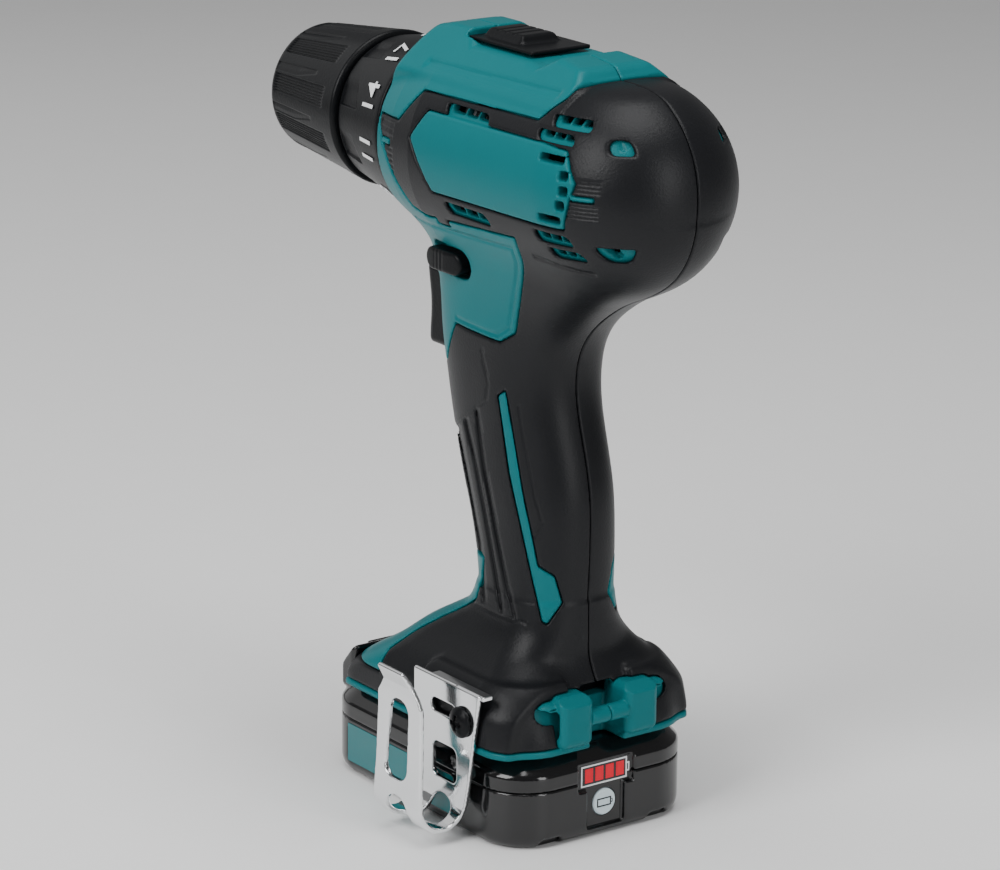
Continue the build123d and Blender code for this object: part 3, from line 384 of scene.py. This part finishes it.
def make_body():
    axes, x, y, z = lattice((0, -31.5, 25.2), (32.8, 79.0, 209.2), FINE)
    axes[1] = np.arange(-45.5, 80.0, FINE, dtype=np.float32)
    y = axes[1][None, :, None]
    field = body_field(x, y, z).astype(np.float32)
    ring_r = np.sqrt(x ** 2 + (z - AXIS_Z) ** 2)
    field = smax(field, np.where(y < COLLAR_GAP, 25.6 - ring_r, -9.0), 0.5).astype(np.float32)
    field = np.maximum(field, np.where(z > 150, np.where(ring_r < 26, COLLAR_GAP - y, -9.0),
                                       -9.0)).astype(np.float32)

    flat_y, flat_z = axes[1][:, None], axes[2][None, :]
    teal = outline_field(FRONT_FACE, flat_y, flat_z)
    for shape, r in ((PANEL, 0.6), (NOSE, 0.0)):
        teal = np.minimum(teal, outline_field(shape, flat_y, flat_z, r))
    for cy, cz, half_l, half_h in DASHES:
        teal = np.minimum(teal, slab_field(flat_y - cy, flat_z - cz, half_l, half_h, 0.3))
    wide, narrow, dome_wide, dome_narrow = 9.0, 9.0, 9.0, 9.0
    for cy, cz, length, height in VENTS:
        slot = slab_field(flat_y - cy + 0.5 * (flat_z - cz), flat_z - cz, length / 2, height / 2,
                          height * 0.4)
        inner = slab_field(flat_y - cy - 0.2 + 0.5 * (flat_z - cz), flat_z - cz - 0.3, length / 2 - 0.9,
                           height / 2 - 0.45, 0.4)
        posts = np.abs(np.abs(flat_y - cy - 0.4) - length * 0.15) - 0.35
        inner = np.maximum(inner, -posts)
        if cy > 65:
            dome_wide, dome_narrow = np.minimum(dome_wide, slot), np.minimum(dome_narrow, inner)
        else:
            wide, narrow = np.minimum(wide, slot), np.minimum(narrow, inner)
    for cy, cz, length, height in PANEL_VENTS:
        slot = slab_field(flat_y - cy, flat_z - cz, length / 2, height / 2, 0.5)
        narrow = np.minimum(narrow, slot)
    fins = 9.0
    for n in range(4):
        for level in (180.1 + 0.95 * n, 176.6 - 0.95 * n):
            fins = np.minimum(fins, np.hypot(np.maximum(np.abs(flat_y - 61.6) - 4.0, 0), flat_z - level))
    for n in range(9):
        level = 170.6 + 1.55 * n
        if abs(level - 178.2) > 1.2:
            fins = np.minimum(fins, np.hypot(np.maximum(np.abs(flat_y + 20.6) - 3.4, 0), flat_z - level))
    trigger_line = [(-19, 157.2), (30.4, 159.4), (29.6, 155.2), (22.9, 141), (20.6, 135.6), (16.0, 132.6),
                    (-1.6, 133.4)]
    trim = line_field(trigger_line, flat_y, flat_z)
    scribe = line_field([(39.6, 159.3), (58.8, 158.0)], flat_y, flat_z)
    hood_line = line_field([(-13, 199.2), (41.5, 200.4)], flat_y, flat_z)

    # Grip details sit where sight lines from the rear quarter meet the curved surface.
    rows = (axes[2] > 52) & (axes[2] < 128)
    band = z[:, :, rows]
    carve = np.zeros(field[:, :, rows].shape, dtype=np.float32)
    for plane, depth, width, line in GRIP_LINES:
        near = line_field(line, y + SIGHT[0] * (plane - x), band + SIGHT[1] * (plane - x))
        carve = np.maximum(carve, depth * np.exp(-(near / width) ** 2))
    plane, shape = INLAY
    inlay = outline_field(shape, y + SIGHT[0] * (plane - x), band + SIGHT[1] * (plane - x), 0.2)
    teal3 = np.repeat(teal[None].astype(np.float32), len(axes[0]), axis=0)
    teal3[:, :, rows] = np.minimum(teal3[:, :, rows], inlay)
    lug = np.maximum(box_field(np.abs(x), y, z, (5.3, 34.0, 26.6), (16.0, 46.0, 40.6), 2.2),
                     0.5 * (y - 44.6) + 0.86 * (z - 39.4))
    ear = np.sqrt(((x - 17.0) / 4.2) ** 2 + ((y - 41.0) / 3.0) ** 2 + ((z - 36.5) / 3.0) ** 2) * 3.0 - 3.0
    lug = smin(lug, np.maximum(ear, 14 - x), 0.6)
    eye = np.maximum(slab_field(y - 41.6, z - 33.6, 2.6, 4.4, 2.2), 12.5 - x)
    bar = np.maximum(np.hypot(y - 44.0, z - 34.0) - 2.3, np.abs(x) - 6.0)

    wide3 = np.minimum(wide[None], smax(dome_wide[None], 13.4 - x, 1.2)).astype(np.float32)
    narrow3 = np.minimum(narrow[None], smax(dome_narrow[None], 14.4 - x, 0.8)).astype(np.float32)
    trigger_slot = np.minimum(box_field(x, y, z, (-40, -70, 119.7), (40, -13.0, 142.6), 0.8),
                              box_field(x, y, z, (-8.8, -70, 119.7), (8.8, -6.0, 142.9), 0.8))
    open_parts = [
        trigger_slot,
        box_field(x, y, z, (-7.2, -40, 121), (7.2, 24, 143), 0.5),
        box_field(x, y, z, (-14.6, -70, 10), (14.6, 28, 29.2), 0.3),
        box_field(x, y, z, (-17.4, -70, 28.8), (17.4, 28, 32.6), 0.3),
        box_field(x, y, z, (-5.5, 35.5, 20), (5.5, 60, 41), 1.2),
        box_field(x, y, z, (-10.0, -7.5, 205.0), (10.0, 27.5, 230), 1.5),
        box_field(x, y, z, (-5.2, -4.5, 190), (5.2, 14.5, 230), 0.5),
        box_field(x, y, z, (-5.0, -40, 145.2), (5.0, -14, 153.6), 0.5),
        np.maximum(slab_field(y + 3.2, z - 148.9, 10.2, 4.0, 3.9), 12.0 - x),
        box_field(x, y, z, (30.6, 9.4, 40.6), (40, 38.6, 43.2), 0.4),
        np.where(y < 9.4, ring_r - 22.15, ring_r - 18.15) + np.where((y > 66.5), 20.0, 0.0),
        np.hypot(y - 27, z - 33.5) - 3.15 + np.where(x < 24, 20.0, 0),
        box_field(x, y, z, (-14.0, 27.9, 20), (14.0, 32.8, 34.4), 0.2),
        box_field(x, y, z, (-60, -70, 20), (60, -33.6, 36.4), 0.5),
    ]
    openings = open_parts[0]
    for part in open_parts[1:]:
        openings = np.minimum(openings, part)
    openings = openings.astype(np.float32)

    side = np.clip(x - 12, 0, 1)
    proud = smax(field - 0.05, teal3 + 0.1, 0.5)
    proud = proud + 0.4 * np.exp(-(trim / 0.55) ** 2)[None] * side
    proud = proud + 0.5 * np.exp(-(hood_line / 0.8) ** 2)[None] * (z > 190) * side
    shell = np.minimum(field + 1.25, proud)
    shell = np.maximum(shell, np.where(z > 36.5, -(field + 3.4), -9.0))
    shell = smax(shell, -openings, 0.4)
    shell = smax(shell, -narrow3, 0.35)
    shell = np.minimum(shell, smax(np.minimum(lug, bar), -eye, 0.3))
    shell = smax(shell, 0.07 - x, 0.3)
    shell = np.maximum(shell, 25.4 - z)
    rubber = field + (0.32 * np.exp(-(fins / 0.3) ** 2) + 0.35 * np.exp(-(scribe / 0.5) ** 2))[None] * side
    rubber[:, :, rows] += carve
    rubber = smax(rubber, -teal3 + 0.12, 0.7)
    rubber = np.maximum(rubber, -(field + 1.2))
    rubber = smax(rubber, -wide3, 0.6)
    rubber = smax(rubber, -openings, 0.5)
    rubber = smax(rubber, 0.15 - np.minimum(lug, bar), 0.3)
    rubber = smax(rubber, 0.07 - x, 0.35)
    rubber = np.maximum(rubber, 25.4 - z)
    heads = 9.0
    for cy, cz in SCREW_SPOTS:
        heads = np.minimum(heads, np.hypot(flat_y - cy, flat_z - cz))
    heads = np.maximum(heads[None] - 3.3, 10.0 - x)
    for name, solid, mat, slot in (("housing", shell, TEAL, "teal"),
                                   ("grip", rubber, RUBBER, "black_rubber")):
        for hand in ("left", "right"):
            shape = solid if hand == "left" else smax(solid, -heads, 0.3)
            verts, quads, normals = skin(shape.astype(np.float32), axes)
            piece = mesh_object(name + "_shell_" + hand, verts, quads, mat, normals, mirror=hand == "right")
            place(piece, "body", slot, name + "_" + hand)


make_body()


# ---------------------------------------------------------------- turned pieces with sculpted skins
def lathe(name, stations, radius, inner, mat, around=720):
    """Closed ring: outer skin radius(y, angle), inner skin inner(y)."""
    angles = np.linspace(0, 2 * math.pi, around, endpoint=False)
    rows = []
    for y in stations:
        rows.append((y, radius(y, angles)))
    for y in reversed(stations):
        rows.append((y, np.full(around, inner(y))))
    verts = [(r * math.cos(a), y, AXIS_Z + r * math.sin(a)) for y, rs in rows for r, a in zip(rs, angles)]
    count = len(rows)
    faces = []
    for i in range(count):
        j = (i + 1) % count
        for k in range(around):
            m = (k + 1) % around
            faces.append((i * around + k, i * around + m, j * around + m, j * around + k))
    return mesh_object(name, verts, faces, mat)


def step_up(value, edge, width):
    t = np.clip((value - edge) / width + 0.5, 0, 1)
    return t * t * (3 - 2 * t)


def sleeve_radius(y, angle):
    base = np.interp(y, [-89.1, -88.7, -87.8, -54.6, -53.9, -53.2], [16.9, 17.4, 17.8, 21.3, 21.4, 20.8])
    if y < -88.0 or y > -54.4:
        return np.full(len(angle), base)
    sector = ((angle - math.radians(84)) / (2 * math.pi) * 10 + 0.5) % 1.0 - 0.5
    ribs = 0.5 + 0.5 * np.cos(sector * 2 * math.pi * 15)
    ribbed = 1 - step_up(np.abs(sector), 0.235, 0.02)
    run = step_up(y, -86.6, 1.0) * (1 - step_up(y, -59.5, 1.0))
    edge = 0.27 + 0.2 * np.clip((y + 76) / 14, 0, 1)
    facet = step_up(sector, edge, 0.02) * (1 - step_up(y, -66.0, 0.6)) * step_up(y, -89.5, 1.0)
    flat = 0.55 * facet * np.clip((sector - edge) / 0.3, 0.35, 1)
    return base - 0.42 * ribs * ribbed * run - flat - 0.12 * ribbed * run


def ring_radius(y, angle):
    base = np.interp(y, [-52.0, -51.7, -50.9, -28.2, -27.2, -27.0], [19.4, 20.1, 20.5, 24.5, 24.5, 23.9])
    sector = ((angle - math.radians(10)) / (2 * math.pi) * 9) % 1.0
    reach = -41.0 - 5.0 * sector
    wedge = step_up(sector, 0.04, 0.03) * (1 - step_up(sector, 0.44, 0.3))
    depth = -0.7 * wedge * step_up(y, -51.6, 0.4) * (1 - step_up(y, reach, 0.8))
    return base + depth


sleeve_rows = list(np.concatenate([[-89.1, -88.9, -88.6, -88.1], np.arange(-87.6, -54.4, 0.6),
                                   [-54.2, -53.8, -53.5, -53.2]]))
sleeve = lathe("sleeve_skin", sleeve_rows, sleeve_radius,
               lambda y: float(np.interp(y, [-89.1, -88.2, -77.6, -76.2, -53.2],
                                         [15.2, 14.5, 14.5, 17.0, 17.0])), SATIN)
place(sleeve, "sleeve", "black_plastic", "chuck_sleeve")
ring_rows = list(np.concatenate([[-51.9, -51.7, -51.4, -51.0], np.arange(-50.6, -28.2, 0.5),
                                 [-27.8, -27.4, -27.1, -27.0]]))
ring = lathe("torque_skin", ring_rows, ring_radius,
             lambda y: float(np.interp(y, [-51.9, -49.8, -49.6, -44, -30, -27],
                                       [13.4, 13.4, 18.4, 18.4, 19.6, 20.4])), SATIN)
place(ring, "torque_selector", "black_plastic", "torque_ring")

# Numerals wrapped on the torque ring: tops toward the nose, one step is 11.4 degrees.
for number in (2, 5, 8, 11, 14, 17, 20):
    curve = bpy.data.curves.new("torque_mark", "FONT")
    curve.body = str(number)
    curve.size = 9.0
    curve.align_x = "CENTER"
    curve.align_y = "CENTER"
    curve.extrude = 0.05
    curve.offset = 0.06
    curve.resolution_u = 6
    maker = bpy.data.objects.new("torque_mark", curve)
    bpy.context.collection.objects.link(maker)
    bpy.context.view_layer.update()
    flat = bpy.data.meshes.new_from_object(maker.evaluated_get(bpy.context.evaluated_depsgraph_get()))
    bpy.data.objects.remove(maker)
    middle = math.radians(-11.8 + 11.4 * (number - 11))
    for v in flat.vertices:
        along, up, high = v.co
        y = -33.6 - up
        r = 24.5 + (y + 28.2) * 4.0 / 22.7 + 0.3 + high
        angle = middle + along / 23.2
        v.co = (r * math.cos(angle) * MM, y * MM, (AXIS_Z + r * math.sin(angle)) * MM)
    flat.name = "torque_mark"
    mark = bpy.data.objects.new("torque_number_%d" % number, flat)
    bpy.context.collection.objects.link(mark)
    flat.materials.clear()
    flat.materials.append(WHITE)
    place(mark, "torque_selector", "black_plastic")


# ---------------------------------------------------------------- battery
def battery_plan(x, y, grow=0.0):
    return slab_field(x, y, 30.9 + grow, 44.4 + grow, 14.0)


def gauge_cut(x, y, z):
    head = box_field(x, y, z, (-9.1, 43.1, 13.3), (9.1, 60, 20.8), 0.4)
    tail = box_field(x, y, z, (-6.1, 43.1, 2.5), (6.1, 60, 14.0), 0.4)
    return np.minimum(head, tail)


def base_field(x, y, z):
    tuck = 1.3 * np.clip((4.0 - z) / 4.0, 0, 1) ** 2
    f = smax(battery_plan(x, y) + tuck, z - 15.85, 0.5)
    f = smax(f, -z, 2.4)
    scoop = np.minimum(slab_field(x - 17.5, z - 1.0, 3.2, 1.6, 1.2),
                       slab_field(x + 17.5, z - 1.0, 3.2, 1.6, 1.2))
    f = smax(f, -np.maximum(scoop, 41.5 - y), 0.6)
    f = np.maximum(f, -np.maximum(battery_plan(x, y, -2.2), 2.2 - z))
    block = box_field(x, y, z, (-12.4, 39.0, 2.1), (12.4, 43.4, 15.8), 0.2)
    f = np.minimum(f, np.maximum(block, battery_plan(x, y)))
    f = smax(f, -gauge_cut(x, y, z), 0.3)
    f = np.maximum(f, -box_field(x, y, z, (-4.5, 38, 4.4), (4.5, 44, 13.4), 0.2))
    f = np.maximum(f, -box_field(x, y, z, (-10.4, -60, 3.3), (10.4, -41.0, 30), 0.4))
    f = np.maximum(f, -np.maximum(slab_field(y + 7.0, z - 9.0, 25.0, 5.5, 2.0), 30.55 - np.abs(x)))
    return f


def cover_field(x, y, z):
    slope = 0.72 * (battery_plan(x, y) + 2.5) + 0.69 * (z - 22.6)
    f = smax(battery_plan(x, y), slope, 0.6)
    f = smax(f, z - 25.0, 0.5)
    f = smax(f, 15.95 - z, 0.3)
    f = np.maximum(f, -np.maximum(battery_plan(x, y, -3.6), np.maximum(z - 21.4, 10 - z)))
    neck = box_field(x, y, z, (-14.2, -43.0, 24), (14.2, 27.4, 30), 0.3)
    rise = np.maximum(box_field(x, y, z, (-27.0, -44.2, 21.5), (27.0, -34.1, 35.6), 2.0), battery_plan(x, y))
    rise = smax(rise, -0.757 * (y + 44.2) + 0.654 * (z - 24.5), 1.0)
    flange = box_field(x, y, z, (-17.0, -43.0, 29.4), (17.0, 27.4, 32.2), 0.5)
    f = np.minimum(f, np.minimum(neck, flange))
    f = smin(f, rise, 1.0)
    for slot_x in (-9.0, 0.0, 9.0):
        f = np.maximum(f, -box_field(x, y, z, (slot_x - 1.6, 5, 26.4), (slot_x + 1.6, 40, 36), 0.2))
    block = np.maximum(box_field(x, y, z, (-12.4, 39.0, 16), (12.4, 43.4, 24), 0.2),
                       smax(battery_plan(x, y), slope, 0.6))
    f = np.minimum(f, block)
    f = smax(f, -gauge_cut(x, y, z), 0.3)
    f = np.maximum(f, -box_field(x, y, z, (-10.4, -60, 10), (10.4, -41.0, 21.6), 0.4))
    return f


case = carved("battery_lower_case", (-31, -44.5, 0), (31, 44.5, 16), FINE + 0.05, base_field, GLOSS)
place(case, "battery", "gloss_black", "battery_base")
lid = carved("battery_upper_case", (-31, -44.5, 15.9), (31, 44.5, 36.0), FINE + 0.05, cover_field, GLOSS)
place(lid, "battery", "black_plastic", "battery_cover")


# ---------------------------------------------------------------- small moulded pieces
def trigger_field(x, y, z):
    lean = 0.9 * np.cos((z - 131.5) / 7.4 * 1.05) ** 2 - 0.11 * (z - 131)
    front = -29.3 + lean + 0.06 * (z - 121) + 2.2 * (np.abs(x) / 8.2) ** 4
    f = slab_field(x, z - 130.9, 8.2, 11.0, 1.8)
    f = smax(f, front - y, 1.6)
    f = np.maximum(f, y + 6.0)
    f = np.maximum(f, -box_field(x, y, z, (-6.6, -24, 121.4), (6.6, 0, 140.4), 0.4))
    post = box_field(x, y, z, (-2.5, -25, 128.5), (2.5, -4.4, 133.5), 0.3)
    return np.minimum(f, post)


def lever_field(x, y, z):
    f = box_field(np.abs(x), y, z, (0, -7.0, 146.4), (17.2, 1.4, 151.2), 0.3)
    cap = slab_field(y + 3.3, z - 148.8, 7.7, 3.0, 2.95)
    cap = smax(cap, np.abs(x) - 20.6 + 0.05 * ((y + 3.3) / 2.2) ** 2, 0.9)
    cap = np.maximum(cap, 16.0 - np.abs(x))
    for spot in (-6.4, -4.8, -3.2):
        cap = smax(cap, 0.5 - np.hypot(np.abs(x) - 21.0, y - spot), 0.3)
    return np.minimum(f, cap)


def knob_field(x, y, z):
    plate = box_field(x, y, z, (-9.4, -7.0, 205.6), (9.4, 20.5, 206.7), 0.4)
    stem = box_field(x, y, z, (-4.8, -4.0, 201.6), (4.8, 8.0, 206.2), 0.2)
    grip = smax(slab_field(x, y - 3.5, 6.6, 8.6, 1.6) + 0.75 * (z - 206.6), z - 208.85, 0.6)
    grip = smax(grip, 206.0 - z, 0.2)
    for spot in (0.2, 3.5, 6.8):
        grip = smax(grip, 0.55 - np.hypot(y - spot, z - 209.1), 0.25)
    return np.minimum(np.minimum(plate, stem), smin(grip, plate, 0.8))


def release_field(x, y, z):
    f = box_field(x, y, z, (-10.0, -46.0, 9.0), (10.0, -42.4, 21.2), 1.2)
    f = smax(f, -44.3 - y, 0.4)
    for rib in (11.4, 13.6, 15.8, 18.0):
        f = smax(f, 0.55 - np.hypot(y + 44.4, z - rib), 0.3)
    return np.minimum(f, box_field(x, y, z, (-7.6, -42.6, 9.0), (7.6, -39.6, 19.2), 0.2))


def screw_field(x, y, z):
    r = np.hypot(y - 27, z - 33.5)
    head = np.maximum(np.sqrt((x - 30.9) ** 2 + r ** 2) - 6.3, r - 4.2)
    head = np.maximum(head, 34.62 - x)
    arms = np.minimum(np.maximum(abs(y - 27) - 0.55, abs(z - 33.5) - 2.1),
                      np.maximum(abs(z - 33.5) - 0.55, abs(y - 27) - 2.1))
    head = smax(head, -np.maximum(arms, 35.9 - x), 0.15)
    return np.minimum(head, np.maximum(np.maximum(r - 1.6, 24.6 - x), x - 35.2))


def clip_field(x, y, z):
    bend = np.hypot(x - 40.4, z - 10.8) - 6.5
    sheet = np.where(z < 10.8, np.abs(bend), 99.0)
    sheet = np.minimum(sheet, line_field([(33.9, 42.1), (33.9, 10.8)], x, z))
    sheet = np.minimum(sheet, line_field([(46.9, 10.8), (46.6, 18), (45.4, 36), (45.5, 40), (46.3, 43.4),
                                          (48.6, 47.2)], x, z))
    f = sheet - 0.7
    plate = outline_field([(5, 48.4), (24, 48.4), (24.4, 42.8), (34.6, 42.8), (33.8, 38), (32.0, 29),
                           (29.7, 16), (26.5, 2),
                           (4.6, 2), (5.6, 20), (5, 38)], y, z, -0.1)
    f = smax(f, plate, 0.35)
    beside = y - np.interp(z, [0, 12, 30, 38, 43, 48], [27.0, 26.4, 25.2, 24.4, 21.6, 20.6])
    near = np.interp(z, [33, 39, 43, 48], [3.0, 5.4, 8.8, 9.8]) - y
    f = smax(f, np.where(x > 41.4, np.maximum(beside, near), -9.0), 0.3)
    slot = slab_field(y - 14.8, z - 27.6, 4.2 + 0.05 * (38 - z), 10.9, 3.8)
    arch = slab_field(y - 15.4, z - 3.6, 5.2, 8.6, 5.0)
    window = slab_field(y - 19.2, z - 19.9, 5.4, 4.9, 2.2)
    oval = slab_field(y - 18.6, z - 34.8, 5.6, 1.9, 1.85)
    f = smax(f, -np.where(x > 41.4, slot, 9.0), 0.3)
    f = smax(f, -np.where(x > 41.0, arch, 9.0), 0.3)
    f = smax(f, -np.where(x < 40.4, slab_field(y - 18.4, z - 3.0, 4.6, 8.0, 4.4), 9.0), 0.3)
    f = smax(f, -np.where(x < 39.4, np.minimum(window, oval), 9.0), 0.3)
    f = smax(f, -np.where(x < 36, np.hypot(y - 27, z - 33.5) - 2.15, 9.0), 0.2)
    return np.minimum(f, box_field(x, y, z, (31.0, 12, 41.4), (34.2, 36, 42.8), 0.3))


TINY = FINE * 0.72
place(carved("trigger_blade", (-8.2, -30.6, 119.8), (8.2, -4.4, 142), TINY, trigger_field, SATIN),
      "trigger_body", "black_plastic", "trigger")
place(carved("direction_button", (-20.8, -11.2, 145.6), (20.8, 4.6, 152), TINY, lever_field, SATIN),
      "direction_selector", "black_plastic", "direction_lever")
place(carved("speed_slider", (-9.5, -7.2, 201.5), (9.5, 20.7, 209), TINY, knob_field, SATIN),
      "speed_selector", "black_plastic", "speed_knob")
place(carved("battery_release", (-10.1, -45, 9), (10.1, -39.6, 21.3), TINY, release_field, SATIN),
      "battery_latch", "black_plastic", "release_button")
place(carved("clip_screw_head", (24.6, 22.7, 29.2), (37.3, 31.3, 37.8), TINY, screw_field, SATIN), "body",
      "dark_steel", "clip_screw")
place(carved("clip_sheet", (31, 3.8, 3.2), (49.6, 40.2, 48.2), FINE * 0.64, clip_field, CHROME), "body",
      "chrome", "belt_clip")


# ---------------------------------------------------------------- printed marks and the gauge
def plate_frame(name, loops, y0, y1, mat, body, slot):
    """Flat frame in the X-Z plane from (outer, inner) outlines of equal length."""
    verts, faces = [], []
    for outer, inner in loops:
        base, n = len(verts), len(outer)
        for y in (y0, y1):
            verts += [(px, y, pz) for px, pz in outer] + [(px, y, pz) for px, pz in inner]
        for k in range(n):
            m = (k + 1) % n
            o0, o1, i0, i1 = base + k, base + m, base + n + k, base + n + m
            up = 2 * n
            faces += [(o0 + up, o1 + up, i1 + up, i0 + up), (o0, i0, i1, o1), (o0, o1, o1 + up, o0 + up),
                      (i0, i0 + up, i1 + up, i1)]
    return place(mesh_object(name, verts, faces, mat, smooth=False), body, slot)


def square(x0, x1, z0, z1):
    return [(x0, z0), (x1, z0), (x1, z1), (x0, z1)]


plate_frame("gauge_outline", [(square(-7.5, 7.6, 14.2, 20.0), square(-7.1, 7.2, 14.6, 19.6)),
                              (square(-8.3, -7.5, 15.8, 18.4),
                               square(-7.95, -7.5, 16.2,
                                      18.0))], 43.14, 43.24, WHITE, "battery", "gloss_black")
plate_frame("button_mark", [(square(-2.1, 2.5, 7.7, 10.1), square(-1.75, 2.15, 8.05, 9.75)),
                            (square(-2.6, -2.1, 8.4, 9.4), square(-2.4, -2.1, 8.6,
                                                                  9.2))], 43.58, 43.66, SATIN, "gauge_key", "pale_button")


# ---------------------------------------------------------------- CAD pieces that keep their shape
FINISH = {
    "teal": TEAL, "black_rubber": RUBBER, "black_plastic": SATIN, "gloss_black": GLOSS, "steel": STEEL,
    "dark_steel": DARK_STEEL, "zinc": ZINC, "chrome": CHROME, "cast": CAST, "brass": BRASS, "copper": COPPER,
    "carbon": CARBON, "clear": LENS, "white_led": LAMP, "red_bar": RED, "pale_button": PALE, "board_green": BOARD,
    "cell_wrap": CELL, "label_teal": LABEL, "orange_nylon": NYLON,
}
slot_of = {entry["node"]: entry["material_slot"] for entry in frame["record"]["subparts"]}
for node, obj in frame["nodes"].items():
    mat = FINISH[slot_of[node]]
    obj.data.materials.clear()
    obj.data.materials.append(mat)


# ---------------------------------------------------------------- floor, light and camera
floor_mesh = bpy.data.meshes.new("floor")
floor_mesh.from_pydata([(-6, -6, 0), (6, -6, 0), (6, 6, 0), (-6, 6, 0)], [], [(0, 1, 2, 3)])
floor = bpy.data.objects.new("floor", floor_mesh)
bpy.context.collection.objects.link(floor)
FLOOR = shader("pale_floor", (0.93, 0.93, 0.93), 0.55, grain=(60, 0.004), blotch=0.01)
floor_mesh.materials.append(FLOOR)

world = bpy.data.worlds.new("studio")
bpy.context.scene.world = world
world.use_nodes = True
world.node_tree.nodes["Background"].inputs["Color"].default_value = (1.0, 1.0, 1.0, 1)
world.node_tree.nodes["Background"].inputs["Strength"].default_value = 0.2


def softbox(name, spot, aim, size, power, tint=(1, 1, 1)):
    light = bpy.data.lights.new(name, "AREA")
    light.shape = "RECTANGLE"
    light.size, light.size_y = size
    light.energy = power
    light.color = tint
    lamp = bpy.data.objects.new(name, light)
    lamp.location = spot
    lamp.rotation_euler = (Vector(spot) - Vector(aim)).to_track_quat("Z", "Y").to_euler()
    bpy.context.collection.objects.link(lamp)


softbox("key", (0.9, 0.1, 0.75), (0, 0, 0.11), (0.5, 0.7), 9)
softbox("top", (0.0, 0.1, 1.1), (0, 0, 0.1), (0.7, 0.7), 8)
softbox("back_left", (-0.1, 1.2, 0.5), (0, 0, 0.12), (0.35, 0.8), 5)
softbox("fill", (0.2, -1.0, 0.5), (0, 0, 0.1), (0.8, 0.8), 1.2)

camera = bpy.data.cameras.new("camera")
camera.sensor_width = 36.0
camera.lens = 149.425
camera.clip_start, camera.clip_end = 0.05, 20
eye = bpy.data.objects.new("camera", camera)
bpy.context.collection.objects.link(eye)
right = Vector((-0.8104, 0.5858, 0.0082))
back = Vector((0.5632, 0.7752, 0.2862)).normalized()
up = back.cross(right).normalized()
right = up.cross(back)
eye.matrix_world = Matrix.Translation((0.62303, 0.85283, 0.41443)) @ Matrix((right, up,
                                                                             back)).transposed().to_4x4()
bpy.context.scene.camera = eye
